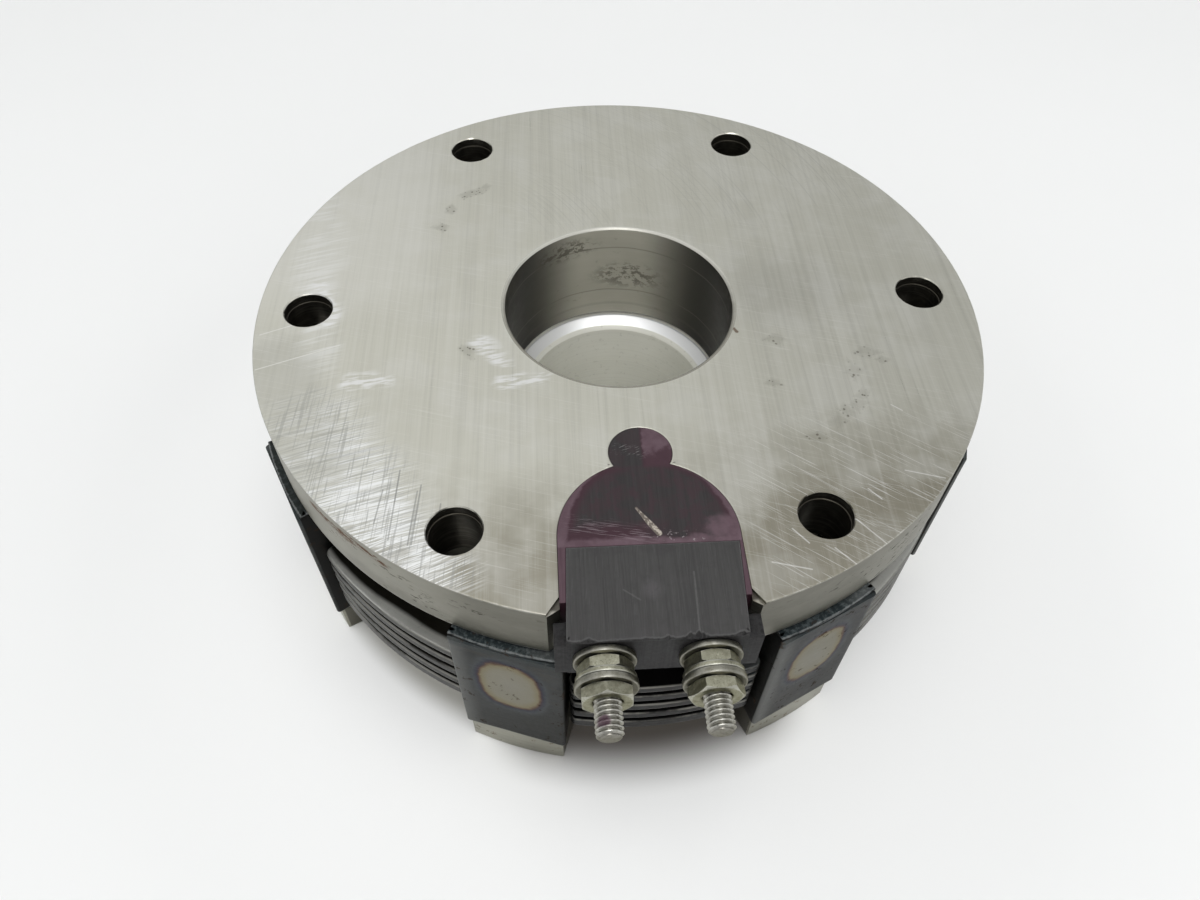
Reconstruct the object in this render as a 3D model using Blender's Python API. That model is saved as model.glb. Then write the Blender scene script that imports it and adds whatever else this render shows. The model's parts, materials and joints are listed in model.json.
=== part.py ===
# Multi-disc electromagnetic brake.
# Frame: +Z up along the shaft axis, origin in the middle of the part's footprint, at the underside of the
# carrier spider. The studs stand out at the front, so the shaft axis is at y = AXIS_Y, behind the origin.
# The terminal block faces -Y; the mounting flange is the top of the part.
# All dimensions below are measured from the shaft axis.
import math
import bmesh
import bpy
from mathutils import Vector

MM = 0.001
GAP = 0.3 * MM                     # clearance between pieces that touch

# ---- overall heights (z of each level above the underside)
TOP = 51.5 * MM                    # ground face of the flange

# ---- magnet body: flange and pot
FLANGE_R = 64.0 * MM
FLANGE_T = 11.3 * MM
BORE_R = 20.5 * MM
BORE_CHAMFER = 0.4 * MM
POT_R = 50.0 * MM
POLE_DEPTH = 22.0 * MM             # flange face to pole face
GROOVE_R0 = 30.5 * MM              # coil groove
GROOVE_R1 = 43.5 * MM
GROOVE_TOP = 9.2 * MM              # depth of the groove's roof below the flange face
HOLE_PCD = 110.4 * MM
HOLE_R = 4.05 * MM
HOLE_CB_R = 4.17 * MM              # shallow counterbore at the ground face
HOLE_CB_DEPTH = 1.8 * MM
HOLE_COUNT = 6

# ---- keyhole slot for the terminals (opens at the rim, towards -Y)
SLOT_X = 0.85 * MM                 # the slot sits slightly to the right of the axis
SLOT_R = 13.5 * MM
SLOT_CY = -50.0 * MM
LOBE_R = 5.0 * MM                  # small round end of the keyhole
LOBE_CY = -34.68 * MM
FLARE_Y0 = -61.2 * MM              # the mouth's upright corners are cut off from here to the rim
FLARE_Y1 = -66.5 * MM
FLARE_DX = 8.5 * MM
STEP_Y = -59.2 * MM                # shallow step across each upper corner of the mouth
STEP_DY = -3.0 * MM
STEP_DX = 2.1 * MM
STEP_DEPTH = 0.6 * MM
RESIN_END_Y = -51.6 * MM           # straight joint between resin and block
RESIN_STRIP_Y = -60.5 * MM         # the resin's thin side strips end here

# ---- terminal block and studs
BLOCK_HALF_W = 12.45 * MM
BLOCK_FRONT_Y = -66.3 * MM
BLOCK_T = 10.3 * MM
BLOCK_EAR_X = 14.5 * MM            # the block's lower shoulders in front of the rim
BLOCK_EAR_Y = -62.8 * MM
BLOCK_EAR_DEPTH = 1.2 * MM         # shoulders start this far below the ground face
STUD_X = (-6.65 * MM, 8.25 * MM)
STUD_Z = TOP - 5.5 * MM
STUD_R = 1.95 * MM
STUD_IN_Y = -54.0 * MM
STUD_TIP_Y = -78.0 * MM
WASHER_R = 4.5 * MM
WASHER_T = 0.75 * MM
SPRING_WASHER_R = 3.8 * MM
SPRING_WASHER_T = 0.6 * MM
NUT_AF = 7.0 * MM
NUT_T = 1.6 * MM

# ---- outer disc carrier: spider plate and eight fingers
FINGERS = 8
FINGER_OFFSET = -109.0             # azimuth of the first finger, degrees
FINGER_HALF = 7.9                  # half width, degrees
FINGER_FLAT = 65.42 * MM           # distance of the flat outer face from the axis
FINGER_TOP_R = 65.3 * MM           # the top of each finger is turned round to this radius
FINGER_TURNED = 0.8 * MM           # height of that turned part
FINGER_EDGE = 0.6 * MM             # chamfer of the upright edges
FINGER_R0 = 60.4 * MM
FINGER_TOP = TOP - FLANGE_T - GAP
SPIDER_T = 7.5 * MM
SPIDER_R0 = 40.0 * MM
SPIDER_R1 = 57.5 * MM
ARM_R1 = 65.1 * MM
ARM_HALF = 7.45
FINGER_BOTTOM = SPIDER_T + GAP

# ---- disc stack
STACK_TOP = TOP - POLE_DEPTH - GAP
OUTER_T = 1.8 * MM
INNER_T = 1.0 * MM
PITCH = OUTER_T + INNER_T + 2 * GAP
END_T = 2.4 * MM
OUTER_DISCS = 5
LUG_R = 64.0 * MM
LUG_HALF = 14.1
LUG_ROUND = 1.2 * MM
NOTCH_R = 59.8 * MM
OUTER_BORE_R = 32.0 * MM
INNER_R = 58.5 * MM

# ---- the shaft axis in the part's frame: halfway between the studs' tips and the rearmost finger
_w = FINGER_FLAT * math.tan(math.radians(FINGER_HALF))
_corners = [(FINGER_FLAT, s * (_w - FINGER_EDGE)) for s in (-1, 1)] + [(FINGER_FLAT - FINGER_EDGE, s * _w) for s in (-1, 1)]
REAR_Y = max(x * math.sin(a) + y * math.cos(a) for x, y in _corners
             for a in (math.radians(FINGER_OFFSET + k * 360.0 / FINGERS) for k in range(FINGERS)))
AXIS_Y = -(STUD_TIP_Y + REAR_Y) / 2

# ---- hub, armature, adjusting nut
HUB_TOP = TOP - 22.6 * MM
HUB_BOTTOM = 0.5 * MM
HUB_BORE_R = 17.5 * MM
HUB_THREAD_R = 27.0 * MM
SPLINES = 20
SPLINE_ROOT_R = 27.5 * MM
SPLINE_TIP_R = 29.7 * MM
KEYWAY_W = 10.0 * MM
KEYWAY_R = 20.8 * MM
ARMATURE_R = 58.0 * MM
ARMATURE_T = 4.4 * MM
NUT_RING_R0 = 27.4 * MM
NUT_RING_R1 = 35.0 * MM
NUT_RING_T = 6.0 * MM

for ob in list(bpy.data.objects):
    bpy.data.objects.remove(ob, do_unlink=True)

# every piece hangs on this empty, which stands on the shaft axis
axis = bpy.data.objects.new("shaft_axis", None)
axis.location = (0, AXIS_Y, 0)
bpy.context.scene.collection.objects.link(axis)


# ------------------------------------------------------------------ helpers
def material(name, colour, rough, metal):
    m = bpy.data.materials.new(name)
    m.use_nodes = True
    b = m.node_tree.nodes["Principled BSDF"]
    b.inputs["Base Color"].default_value = (*colour, 1.0)
    b.inputs["Roughness"].default_value = rough
    b.inputs["Metallic"].default_value = metal
    m.diffuse_color = (*colour, 1.0)
    return m


def link(name, me, mat=None, loc=(0, 0, 0), rot=(0, 0, 0), smooth=True):
    me.name = name
    if mat is not None:
        me.materials.clear()
        me.materials.append(mat)
    if smooth:
        me.shade_smooth()
        me.set_sharp_from_angle(angle=math.radians(32))
    ob = bpy.data.objects.new(name, me)
    ob.location = loc
    ob.rotation_euler = rot
    ob.parent = axis
    bpy.context.scene.collection.objects.link(ob)
    return ob


def close(bm):
    bmesh.ops.remove_doubles(bm, verts=bm.verts, dist=1e-7)
    bmesh.ops.recalc_face_normals(bm, faces=bm.faces)
    me = bpy.data.meshes.new("m")
    bm.to_mesh(me)
    bm.free()
    return me


def lathe(profile, n, phase=0.0):
    """Body of revolution from a closed profile of (r, z) points; r = 0 points become poles."""
    bm = bmesh.new()
    rings = []
    for r, z in profile:
        if r <= 0:
            rings.append([bm.verts.new((0, 0, z))] * n)
        else:
            rings.append([bm.verts.new((r * math.cos(phase + 2 * math.pi * k / n),
                                        r * math.sin(phase + 2 * math.pi * k / n), z)) for k in range(n)])
    for i in range(len(rings)):
        a, b = rings[i], rings[(i + 1) % len(rings)]
        if a[0] is a[1] and b[0] is b[1]:
            continue
        for k in range(n):
            q = [a[k], a[(k + 1) % n], b[(k + 1) % n], b[k]]
            q = [v for j, v in enumerate(q) if v not in q[:j]]
            bm.faces.new(q)
    return close(bm)


def plate(outline, hole, z0, z1):
    """Flat plate between z0 and z1 with an outline and, if given, one inner outline."""
    bm = bmesh.new()
    edges = []
    for loop in (outline, hole):
        if not loop:
            continue
        vs = [bm.verts.new((x, y, z0)) for x, y in loop]
        edges += [bm.edges.new((vs[i], vs[(i + 1) % len(vs)])) for i in range(len(vs))]
    bmesh.ops.triangle_fill(bm, use_beauty=True, use_dissolve=False, edges=edges, normal=(0, 0, 1))
    top = bmesh.ops.extrude_face_region(bm, geom=list(bm.faces))
    bmesh.ops.translate(bm, verts=[e for e in top["geom"] if isinstance(e, bmesh.types.BMVert)], vec=(0, 0, z1 - z0))
    return close(bm)


def block(x0, x1, y0, y1, z0, z1):
    return plate([(x0, y0), (x1, y0), (x1, y1), (x0, y1)], None, z0, z1)


def arc(r, a0, a1, n, cx=0.0, cy=0.0):
    """n + 1 points from azimuth a0 to a1 (degrees)."""
    return [(cx + r * math.cos(math.radians(a0 + (a1 - a0) * k / n)),
             cy + r * math.sin(math.radians(a0 + (a1 - a0) * k / n))) for k in range(n + 1)]


def circle(r, n, phase=0.0):
    return [(r * math.cos(phase + 2 * math.pi * k / n), r * math.sin(phase + 2 * math.pi * k / n)) for k in range(n)]


def cut(ob, me, name, loc=(0, 0, 0), rot=(0, 0, 0)):
    c = link(name, me, None, loc, rot, smooth=False)
    c.hide_render = True
    c.display_type = 'WIRE'
    m = ob.modifiers.new(name, 'BOOLEAN')
    m.operation = 'DIFFERENCE'
    m.solver = 'EXACT'
    m.object = c
    return c


def rounded_corner(p_prev, p, p_next, r, n):
    """Points of a fillet of radius r at corner p."""
    a = (Vector(p_prev) - Vector(p)).normalized()
    b = (Vector(p_next) - Vector(p)).normalized()
    half = math.acos(max(-1, min(1, a.dot(b)))) / 2
    d = r / math.tan(half)
    c = Vector(p) + (a + b).normalized() * (r / math.sin(half))
    s = Vector(p) + a * d - c
    e = Vector(p) + b * d - c
    a0 = math.atan2(s.y, s.x)
    da = (math.atan2(e.y, e.x) - a0 + math.pi) % (2 * math.pi) - math.pi
    return [(c.x + r * math.cos(a0 + da * k / n), c.y + r * math.sin(a0 + da * k / n)) for k in range(n + 1)]


def splined(root, tip, teeth, fill, phase=0.0):
    """Outline with straight-sided teeth between two radii; fill is the tooth's share of the pitch."""
    pts = []
    step = 2 * math.pi / teeth
    for k in range(teeth):
        c = phase + k * step
        h = step * fill / 2
        for r, a in ((root, c - h), (tip, c - h * 0.94), (tip, c + h * 0.94), (root, c + h)):
            pts.append((r * math.cos(a), r * math.sin(a)))
    return pts


# ------------------------------------------------------------------ materials
STEEL_GROUND = material("ground_steel", (0.60, 0.59, 0.56), 0.34, 1.0)
RESIN = material("burgundy_resin", (0.10, 0.035, 0.06), 0.45, 0.0)
BLOCK = material("dark_block", (0.085, 0.085, 0.088), 0.6, 0.0)
ZINC = material("zinc_plate", (0.58, 0.58, 0.52), 0.38, 1.0)
OXIDE = material("oxide_steel", (0.23, 0.24, 0.25), 0.48, 0.9)
MACHINED = material("machined_steel", (0.52, 0.52, 0.46), 0.42, 1.0)
DISC = material("disc_steel", (0.34, 0.34, 0.33), 0.48, 1.0)
LINED = material("inner_disc_steel", (0.30, 0.28, 0.25), 0.55, 0.9)
HUB = material("hub_steel", (0.62, 0.62, 0.59), 0.3, 1.0)
COPPER = material("enamelled_copper", (0.55, 0.24, 0.12), 0.4, 1.0)
BOBBIN = material("bobbin_plastic", (0.55, 0.50, 0.38), 0.6, 0.0)
BLACKED = material("blackened_steel", (0.12, 0.12, 0.125), 0.45, 0.9)


# ------------------------------------------------------------------ magnet body
def keyhole(inset, mouth):
    """Keyhole outline: round lobe, large round shoulder, straight sides. With the mouth it flares at the rim;
    without it, it is the resin's outline, with a thin strip down each side of the block."""
    R, r = SLOT_R - inset, LOBE_R - inset
    d = LOBE_CY - SLOT_CY
    along = (d * d + R * R - r * r) / (2 * d)             # from the large centre to the common chord
    half = math.sqrt(R * R - along * along)
    a_big = math.degrees(math.atan2(along, half))
    a_small = math.degrees(math.atan2(along - d, half))
    pts = arc(R, 0, a_big, 9, SLOT_X, SLOT_CY)
    pts += arc(r, a_small, 180 - a_small, 14, SLOT_X, LOBE_CY)[1:]
    pts += arc(R, 180 - a_big, 180, 9, SLOT_X, SLOT_CY)[1:]
    if mouth:
        pts += [(SLOT_X - R, FLARE_Y0), (SLOT_X - R - FLARE_DX, FLARE_Y1),
                (SLOT_X + R + FLARE_DX, FLARE_Y1), (SLOT_X + R, FLARE_Y0)]
    else:
        notch = BLOCK_HALF_W + GAP
        pts += [(SLOT_X - R, RESIN_STRIP_Y), (SLOT_X - notch, RESIN_STRIP_Y), (SLOT_X - notch, RESIN_END_Y),
                (SLOT_X + notch, RESIN_END_Y), (SLOT_X + notch, RESIN_STRIP_Y), (SLOT_X + R, RESIN_STRIP_Y)]
    return pts


flange_z = TOP - FLANGE_T
pole_z = TOP - POLE_DEPTH
body = link("magnet_body", lathe([
    (BORE_R + BORE_CHAMFER, TOP), (FLANGE_R, TOP), (FLANGE_R, flange_z), (POT_R, flange_z),
    (POT_R, pole_z), (GROOVE_R1, pole_z), (GROOVE_R1, TOP - GROOVE_TOP), (GROOVE_R0, TOP - GROOVE_TOP),
    (GROOVE_R0, pole_z), (BORE_R, pole_z), (BORE_R, TOP - BORE_CHAMFER)], 96), STEEL_GROUND)
for k in range(HOLE_COUNT):
    a = 2 * math.pi * k / HOLE_COUNT
    x, y = HOLE_PCD / 2 * math.cos(a), HOLE_PCD / 2 * math.sin(a)
    cut(body, lathe([(0, flange_z - 1 * MM), (HOLE_R, flange_z - 1 * MM), (HOLE_R, TOP - HOLE_CB_DEPTH),
                     (HOLE_CB_R, TOP - HOLE_CB_DEPTH), (HOLE_CB_R, TOP + 1 * MM), (0, TOP + 1 * MM)], 20),
        f"cut_hole_{k + 1}", (x, y, 0))
cut(body, plate(keyhole(0, True), None, flange_z - 0.0001 * MM, TOP + 1 * MM), "cut_keyhole")
# shallow step across the two upper corners of the mouth
for side, s in (("left", -1), ("right", 1)):
    x0 = SLOT_X + s * (SLOT_R - 0.2 * MM)
    step = [(x0, STEP_Y), (x0 + s * STEP_DX * 2, STEP_Y + STEP_DY * 2), (x0 - s * 3 * MM, STEP_Y + STEP_DY * 2),
            (x0 - s * 3 * MM, STEP_Y)]
    cut(body, plate(step if s > 0 else step[::-1], None, TOP - STEP_DEPTH, TOP + 1 * MM), f"cut_step_{side}")

# ------------------------------------------------------------------ coil in the groove
g0, g1 = GROOVE_R0 + GAP, GROOVE_R1 - GAP
gt = TOP - FLANGE_T - 0.9 * MM                  # roof of the bobbin, under the keyhole
gb = pole_z + 1.6 * MM
wall = 0.8 * MM
link("coil_bobbin", lathe([
    (g0, gt), (g1, gt), (g1, gt - wall), (g0 + wall, gt - wall), (g0 + wall, gb + wall), (g1, gb + wall),
    (g1, gb), (g0, gb)], 32), BOBBIN)
link("coil_winding", lathe([
    (g0 + wall + GAP, gt - wall - GAP), (g1 - 0.2 * MM, gt - wall - GAP),
    (g1 - 0.2 * MM, gb + wall + GAP), (g0 + wall + GAP, gb + wall + GAP)], 32), COPPER)
link("coil_potting", lathe([(g0, gb - GAP), (g1, gb - GAP), (g1, pole_z + 0.1 * MM), (g0, pole_z + 0.1 * MM)], 32),
     RESIN)

# ------------------------------------------------------------------ terminals
resin = link("terminal_resin", plate(keyhole(GAP, False), None, flange_z + GAP, TOP), RESIN)
tblock = link("terminal_block", block(SLOT_X - BLOCK_HALF_W, SLOT_X + BLOCK_HALF_W, BLOCK_FRONT_Y,
                                      RESIN_END_Y - GAP, TOP - BLOCK_T, TOP), BLOCK)
shoulder = link("cut_shoulder", block(SLOT_X - BLOCK_EAR_X, SLOT_X + BLOCK_EAR_X, BLOCK_FRONT_Y, BLOCK_EAR_Y,
                                      TOP - BLOCK_T, TOP - BLOCK_EAR_DEPTH), None, smooth=False)
shoulder.hide_render = True
shoulder.display_type = 'WIRE'
join = tblock.modifiers.new("shoulders", 'BOOLEAN')
join.operation = 'UNION'
join.solver = 'EXACT'
join.object = shoulder
face_to_y = (math.radians(90), 0, 0)            # local +Z turns to -Y


def hexagon(af, phase):
    r = af / math.sqrt(3)
    return [(r * math.cos(phase + k * math.pi / 3), r * math.sin(phase + k * math.pi / 3)) for k in range(6)]


LEAD_Z = TOP - 5.5 * MM
for side, sx, turn_in, turn_out in (("left", STUD_X[0], 0.06, 0.56), ("right", STUD_X[1], -0.02, -0.06)):
    # stud bore from the front, and the lead's small bore from the back
    cut(tblock, lathe([(0, 0), (STUD_R + GAP, 0), (STUD_R + GAP, 14 * MM), (0, 14 * MM)], 20),
        f"cut_stud_{side}", (sx, STUD_IN_Y + GAP, STUD_Z), face_to_y)
    cut(tblock, lathe([(0, 0), (0.8 * MM, 0), (0.8 * MM, 4 * MM), (0, 4 * MM)], 12),
        f"cut_lead_{side}", (sx, RESIN_END_Y + 1 * MM, STUD_Z), face_to_y)
    length = STUD_IN_Y - STUD_TIP_Y
    link(f"terminal_stud_{side}", lathe([(0, 0), (STUD_R, 0), (STUD_R, length - 0.5 * MM),
                                         (STUD_R - 0.5 * MM, length), (0, length)], 20),
         ZINC, (sx, STUD_IN_Y, STUD_Z), face_to_y)
    y = BLOCK_FRONT_Y - GAP
    hole = circle(STUD_R + GAP, 16)
    for name, outline, t in (
            ("inner_washer", circle(WASHER_R, 24), WASHER_T),
            ("inner_nut", hexagon(NUT_AF, turn_in), NUT_T),
            ("spring_washer", circle(SPRING_WASHER_R, 20), SPRING_WASHER_T),
            ("outer_washer", circle(WASHER_R, 24), WASHER_T),
            ("outer_nut", hexagon(NUT_AF, turn_out), NUT_T)):
        link(f"{name}_{side}", plate(outline, hole, 0, t), ZINC, (sx, y, STUD_Z), face_to_y)
        y -= t + GAP

# coil leads: up from the winding through the small lobe, then level to the studs' inner ends
for side, sx, lx in (("left", STUD_X[0], -1.6 * MM), ("right", STUD_X[1], 1.6 * MM)):
    path = [Vector((SLOT_X + lx, LOBE_CY, gt + GAP)), Vector((SLOT_X + lx, LOBE_CY, LEAD_Z - 1.2 * MM)),
            Vector((SLOT_X + lx * 1.1, LOBE_CY - 1.2 * MM, LEAD_Z)),
            Vector((sx, RESIN_END_Y + 2.5 * MM, LEAD_Z)), Vector((sx, STUD_IN_Y + GAP, LEAD_Z))]

    def tube(points, r, n=8):
        bm = bmesh.new()
        rings = []
        for i, p in enumerate(points):
            t = ((points[i] - points[i - 1]).normalized() if i else Vector()) + \
                ((points[i + 1] - points[i]).normalized() if i + 1 < len(points) else Vector())
            t.normalize()
            side_v = t.cross(Vector((1, 0, 0))).normalized()
            up_v = side_v.cross(t).normalized()
            rings.append([bm.verts.new(p + (side_v * math.cos(2 * math.pi * k / n) +
                                            up_v * math.sin(2 * math.pi * k / n)) * r) for k in range(n)])
        for a, b in zip(rings, rings[1:]):
            for k in range(n):
                bm.faces.new((a[k], a[(k + 1) % n], b[(k + 1) % n], b[k]))
        bm.faces.new(rings[0])
        bm.faces.new(rings[-1])
        return close(bm)

    link(f"coil_lead_{side}", tube(path, 0.45 * MM), COPPER)
    run = [path[0] + Vector((0, 0, -3 * MM))] + path[1:4] + [path[4] + Vector((0, -2 * MM, 0))]
    cut(resin, tube(run, 0.8 * MM), f"cut_lead_run_{side}")

# ------------------------------------------------------------------ outer disc carrier
arms = []
for k in range(FINGERS):
    c = k * 360.0 / FINGERS
    arms += arc(ARM_R1, c - ARM_HALF, c + ARM_HALF, 5)
    a_root = math.degrees(math.asin(ARM_R1 * math.sin(math.radians(ARM_HALF)) / SPIDER_R1))
    arms += arc(SPIDER_R1, c + a_root, c + 45 - a_root, 4)
link("carrier_spider", plate(arms, circle(SPIDER_R0, 48), 0, SPIDER_T), MACHINED,
     (0, 0, 0), (0, 0, math.radians(FINGER_OFFSET)))


def finger_mesh():
    """Upright plate centred on local +X: flat outer face with chamfered upright edges, round inner face, turned top."""
    ch = FINGER_EDGE
    w = FINGER_FLAT * math.tan(math.radians(FINGER_HALF))
    outer = [(FINGER_FLAT - ch, -w)] + [(FINGER_FLAT, (w - ch) * (2 * i / 5 - 1)) for i in range(6)] + [(FINGER_FLAT - ch, w)]
    inner = [(FINGER_R0 * math.cos(t), FINGER_R0 * math.sin(t))
             for t in (math.radians(FINGER_HALF * (1 - 2 * i / 5)) for i in range(6))]
    bm = bmesh.new()

    def ring(limit, z):
        pts = []
        for x, y in outer:
            f = min(1.0, limit / math.hypot(x, y))
            pts.append((x * f, y * f))
        return [bm.verts.new((x, y, z)) for x, y in pts + inner]
    levels = [ring(1.0, FINGER_BOTTOM), ring(1.0, FINGER_TOP - FINGER_TURNED),
              ring(FINGER_TOP_R, FINGER_TOP - FINGER_TURNED + 0.1 * MM),
              ring(FINGER_TOP_R, FINGER_TOP - 0.25 * MM), ring(FINGER_TOP_R - 0.25 * MM, FINGER_TOP)]
    n = len(levels[0])
    for a, b in zip(levels, levels[1:]):
        for i in range(n):
            bm.faces.new((a[i], a[(i + 1) % n], b[(i + 1) % n], b[i]))
    bm.faces.new(levels[0])
    bm.faces.new(levels[-1])
    return close(bm)


for k in range(FINGERS):
    link(f"carrier_finger_{k + 1}", finger_mesh(), OXIDE, (0, 0, 0),
         (0, 0, math.radians(FINGER_OFFSET + k * 360.0 / FINGERS)))


# ------------------------------------------------------------------ discs
def outer_outline():
    pts = []
    for k in range(FINGERS):
        c = (k + 0.5) * 360.0 / FINGERS
        e0, e1 = c - LUG_HALF, c + LUG_HALF
        lug = arc(LUG_R, e0, e1, 6)
        n0, n1 = arc(NOTCH_R, e0, e1, 1)
        pts += [n0]
        pts += rounded_corner(n0, lug[0], lug[1], LUG_ROUND, 3)
        pts += lug[1:-1]
        pts += rounded_corner(lug[-2], lug[-1], n1, LUG_ROUND, 3)
        pts += [n1]
        pts += arc(NOTCH_R, e1, c + 360.0 / FINGERS - LUG_HALF, 3)[1:-1]
    return pts


turn = (0, 0, math.radians(FINGER_OFFSET))
for k in range(OUTER_DISCS):
    t = END_T if k == OUTER_DISCS - 1 else OUTER_T
    z = STACK_TOP - k * PITCH - t / 2
    link(f"outer_disc_{k + 1}", plate(outer_outline(), circle(OUTER_BORE_R, 40), -t / 2, t / 2), DISC, (0, 0, z), turn)

inner_teeth = splined(SPLINE_TIP_R + GAP, SPLINE_ROOT_R + GAP, SPLINES, 0.44, math.pi / SPLINES)
for k in range(OUTER_DISCS - 1):
    z = STACK_TOP - k * PITCH - OUTER_T - GAP - INNER_T / 2
    link(f"inner_disc_{k + 1}", plate(circle(INNER_R, 48), inner_teeth, -INNER_T / 2, INNER_T / 2), LINED, (0, 0, z))

stack_bottom = STACK_TOP - (OUTER_DISCS - 1) * PITCH - END_T
armature_top = stack_bottom - GAP
link("armature_plate", plate(circle(ARMATURE_R, 48), inner_teeth, -ARMATURE_T / 2, ARMATURE_T / 2), MACHINED,
     (0, 0, armature_top - ARMATURE_T / 2))
armature_bottom = armature_top - ARMATURE_T

# ------------------------------------------------------------------ hub
n = SPLINES * 4
teeth = splined(SPLINE_ROOT_R, SPLINE_TIP_R, SPLINES, 0.44)
round_r = [(HUB_THREAD_R * math.cos(math.atan2(y, x)), HUB_THREAD_R * math.sin(math.atan2(y, x))) for x, y in teeth]
bore = [(HUB_BORE_R * math.cos(math.atan2(y, x)), HUB_BORE_R * math.sin(math.atan2(y, x))) for x, y in teeth]
bore_ch = [(x * 1.0206, y * 1.0206) for x, y in bore]
step_z = armature_bottom + 0.2 * MM
hub_mid = (HUB_TOP + HUB_BOTTOM) / 2
bm = bmesh.new()
rings = []
for pts, z in ((teeth, HUB_TOP), (teeth, step_z), (round_r, step_z), (round_r, HUB_BOTTOM), (bore, HUB_BOTTOM),
               (bore, HUB_TOP - 0.35 * MM), (bore_ch, HUB_TOP)):
    rings.append([bm.verts.new((x, y, z - hub_mid)) for x, y in pts])
for i in range(len(rings)):
    a, b = rings[i], rings[(i + 1) % len(rings)]
    for k in range(n):
        bm.faces.new((a[k], a[(k + 1) % n], b[(k + 1) % n], b[k]))
hub = link("hub", close(bm), HUB, (0, 0, hub_mid))
cut(hub, block(-KEYWAY_W / 2, KEYWAY_W / 2, -KEYWAY_R, -10 * MM, HUB_BOTTOM - 2 * MM, HUB_TOP + 2 * MM), "cut_keyway")

nut_top = armature_bottom - GAP
ring_mid = nut_top - NUT_RING_T / 2
nut_ring = link("adjusting_nut", lathe([
    (NUT_RING_R0, NUT_RING_T / 2), (NUT_RING_R1 - 0.5 * MM, NUT_RING_T / 2), (NUT_RING_R1, NUT_RING_T / 2 - 0.5 * MM),
    (NUT_RING_R1, -NUT_RING_T / 2 + 0.5 * MM), (NUT_RING_R1 - 0.5 * MM, -NUT_RING_T / 2),
    (NUT_RING_R0, -NUT_RING_T / 2)], 36), BLACKED, (0, 0, ring_mid))
for k in range(4):
    a = math.pi / 4 + k * math.pi / 2
    cut(nut_ring, block(NUT_RING_R1 - 2.6 * MM, NUT_RING_R1 + 2 * MM, -2.5 * MM, 2.5 * MM, -5 * MM, 5 * MM),
        f"cut_spanner_{k + 1}", (0, 0, ring_mid), (0, 0, a))
cut(nut_ring, lathe([(0, 0), (2.1 * MM, 0), (2.1 * MM, 14 * MM), (0, 14 * MM)], 16), "cut_lock_screw",
    (24 * MM, 0, ring_mid), (0, math.radians(90), 0))
lock = link("nut_lock_screw", lathe([(0, 0), (1.8 * MM, 0), (1.8 * MM, 5.6 * MM), (0, 5.6 * MM)], 16), BLACKED,
            (27.6 * MM, 0, ring_mid), (0, math.radians(90), 0))
cut(lock, plate(hexagon(2.0 * MM, 0), None, 3.8 * MM, 7 * MM), "cut_lock_socket", (27.6 * MM, 0, ring_mid),
    (0, math.radians(90), 0))
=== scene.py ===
import json
import math

import bmesh
import bpy
import numpy as np
from mathutils import Matrix, Vector


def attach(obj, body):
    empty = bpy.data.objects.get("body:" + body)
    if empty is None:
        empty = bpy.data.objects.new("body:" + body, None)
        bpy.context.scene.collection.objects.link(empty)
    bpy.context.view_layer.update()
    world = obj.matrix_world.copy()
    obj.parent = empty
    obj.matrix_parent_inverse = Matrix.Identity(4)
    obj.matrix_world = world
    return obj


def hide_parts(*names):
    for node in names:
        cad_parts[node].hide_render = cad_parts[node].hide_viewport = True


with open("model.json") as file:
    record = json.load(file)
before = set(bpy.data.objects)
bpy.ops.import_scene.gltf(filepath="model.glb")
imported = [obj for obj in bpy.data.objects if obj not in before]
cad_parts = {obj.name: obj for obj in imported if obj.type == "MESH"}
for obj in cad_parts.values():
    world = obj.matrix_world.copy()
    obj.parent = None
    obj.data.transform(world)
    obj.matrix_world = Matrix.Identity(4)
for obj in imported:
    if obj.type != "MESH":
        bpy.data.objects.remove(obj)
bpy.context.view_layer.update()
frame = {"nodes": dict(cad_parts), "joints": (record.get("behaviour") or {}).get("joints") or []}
NODES = frame["nodes"]
AY = next(j for j in frame["joints"] if j["name"] == "hub_spin")["pos_m"][1]   # shaft axis, y in metres

# ------------------------------------------------------------------ dimensions, mm from the shaft axis
TOP = 51.5
FLANGE_R, FLANGE_Z = 64.0, 40.2
BORE_R, POT_R, POLE_Z = 20.5, 50.0, 29.5
GROOVE_R0, GROOVE_R1, GROOVE_Z = 30.5, 43.5, 39.6
HOLE_PCD, HOLE_R, HOLE_CB_R, HOLE_CB_Z = 110.4, 4.05, 4.2, 49.7
SLOT_X, SLOT_R, SLOT_CY, LOBE_R, LOBE_CY = 0.85, 13.5, -50.0, 5.0, -34.68
FLARE_Y0, FLARE_Y1, FLARE_DX = -61.2, -66.5, 8.5
STEP_Y, STEP_DY, STEP_DX, STEP_DEPTH = -59.2, -3.0, 2.1, 0.6
RESIN_END_Y, RESIN_STRIP_Y = -51.6, -60.5
BLOCK_HALF_W, BLOCK_FRONT_Y, BLOCK_Z = 12.45, -66.3, 41.2
EAR_X, EAR_Y, EAR_TOP = 14.5, -62.8, 50.3
STUD_X, STUD_Z, STUD_R = (-6.65, 8.25), 46.0, 1.97
FINGERS, FINGER_OFFSET = 8, -109.0
FINGER_HALF, FINGER_FLAT, FINGER_TOP_R, FINGER_R0 = 7.9, 65.42, 65.3, 60.4
FINGER_Z0, FINGER_Z1 = 7.8, 39.9
SPIDER_T, SPIDER_R0, SPIDER_R1, ARM_R1, ARM_HALF = 7.5, 40.0, 57.5, 65.1, 7.45
STACK_TOP, OUTER_T, INNER_T, PITCH, END_T = 29.2, 1.8, 1.0, 3.4, 2.4
LUG_R, LUG_HALF, NOTCH_R, OUTER_BORE_R, INNER_R = 64.0, 14.1, 59.8, 32.0, 58.5
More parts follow.
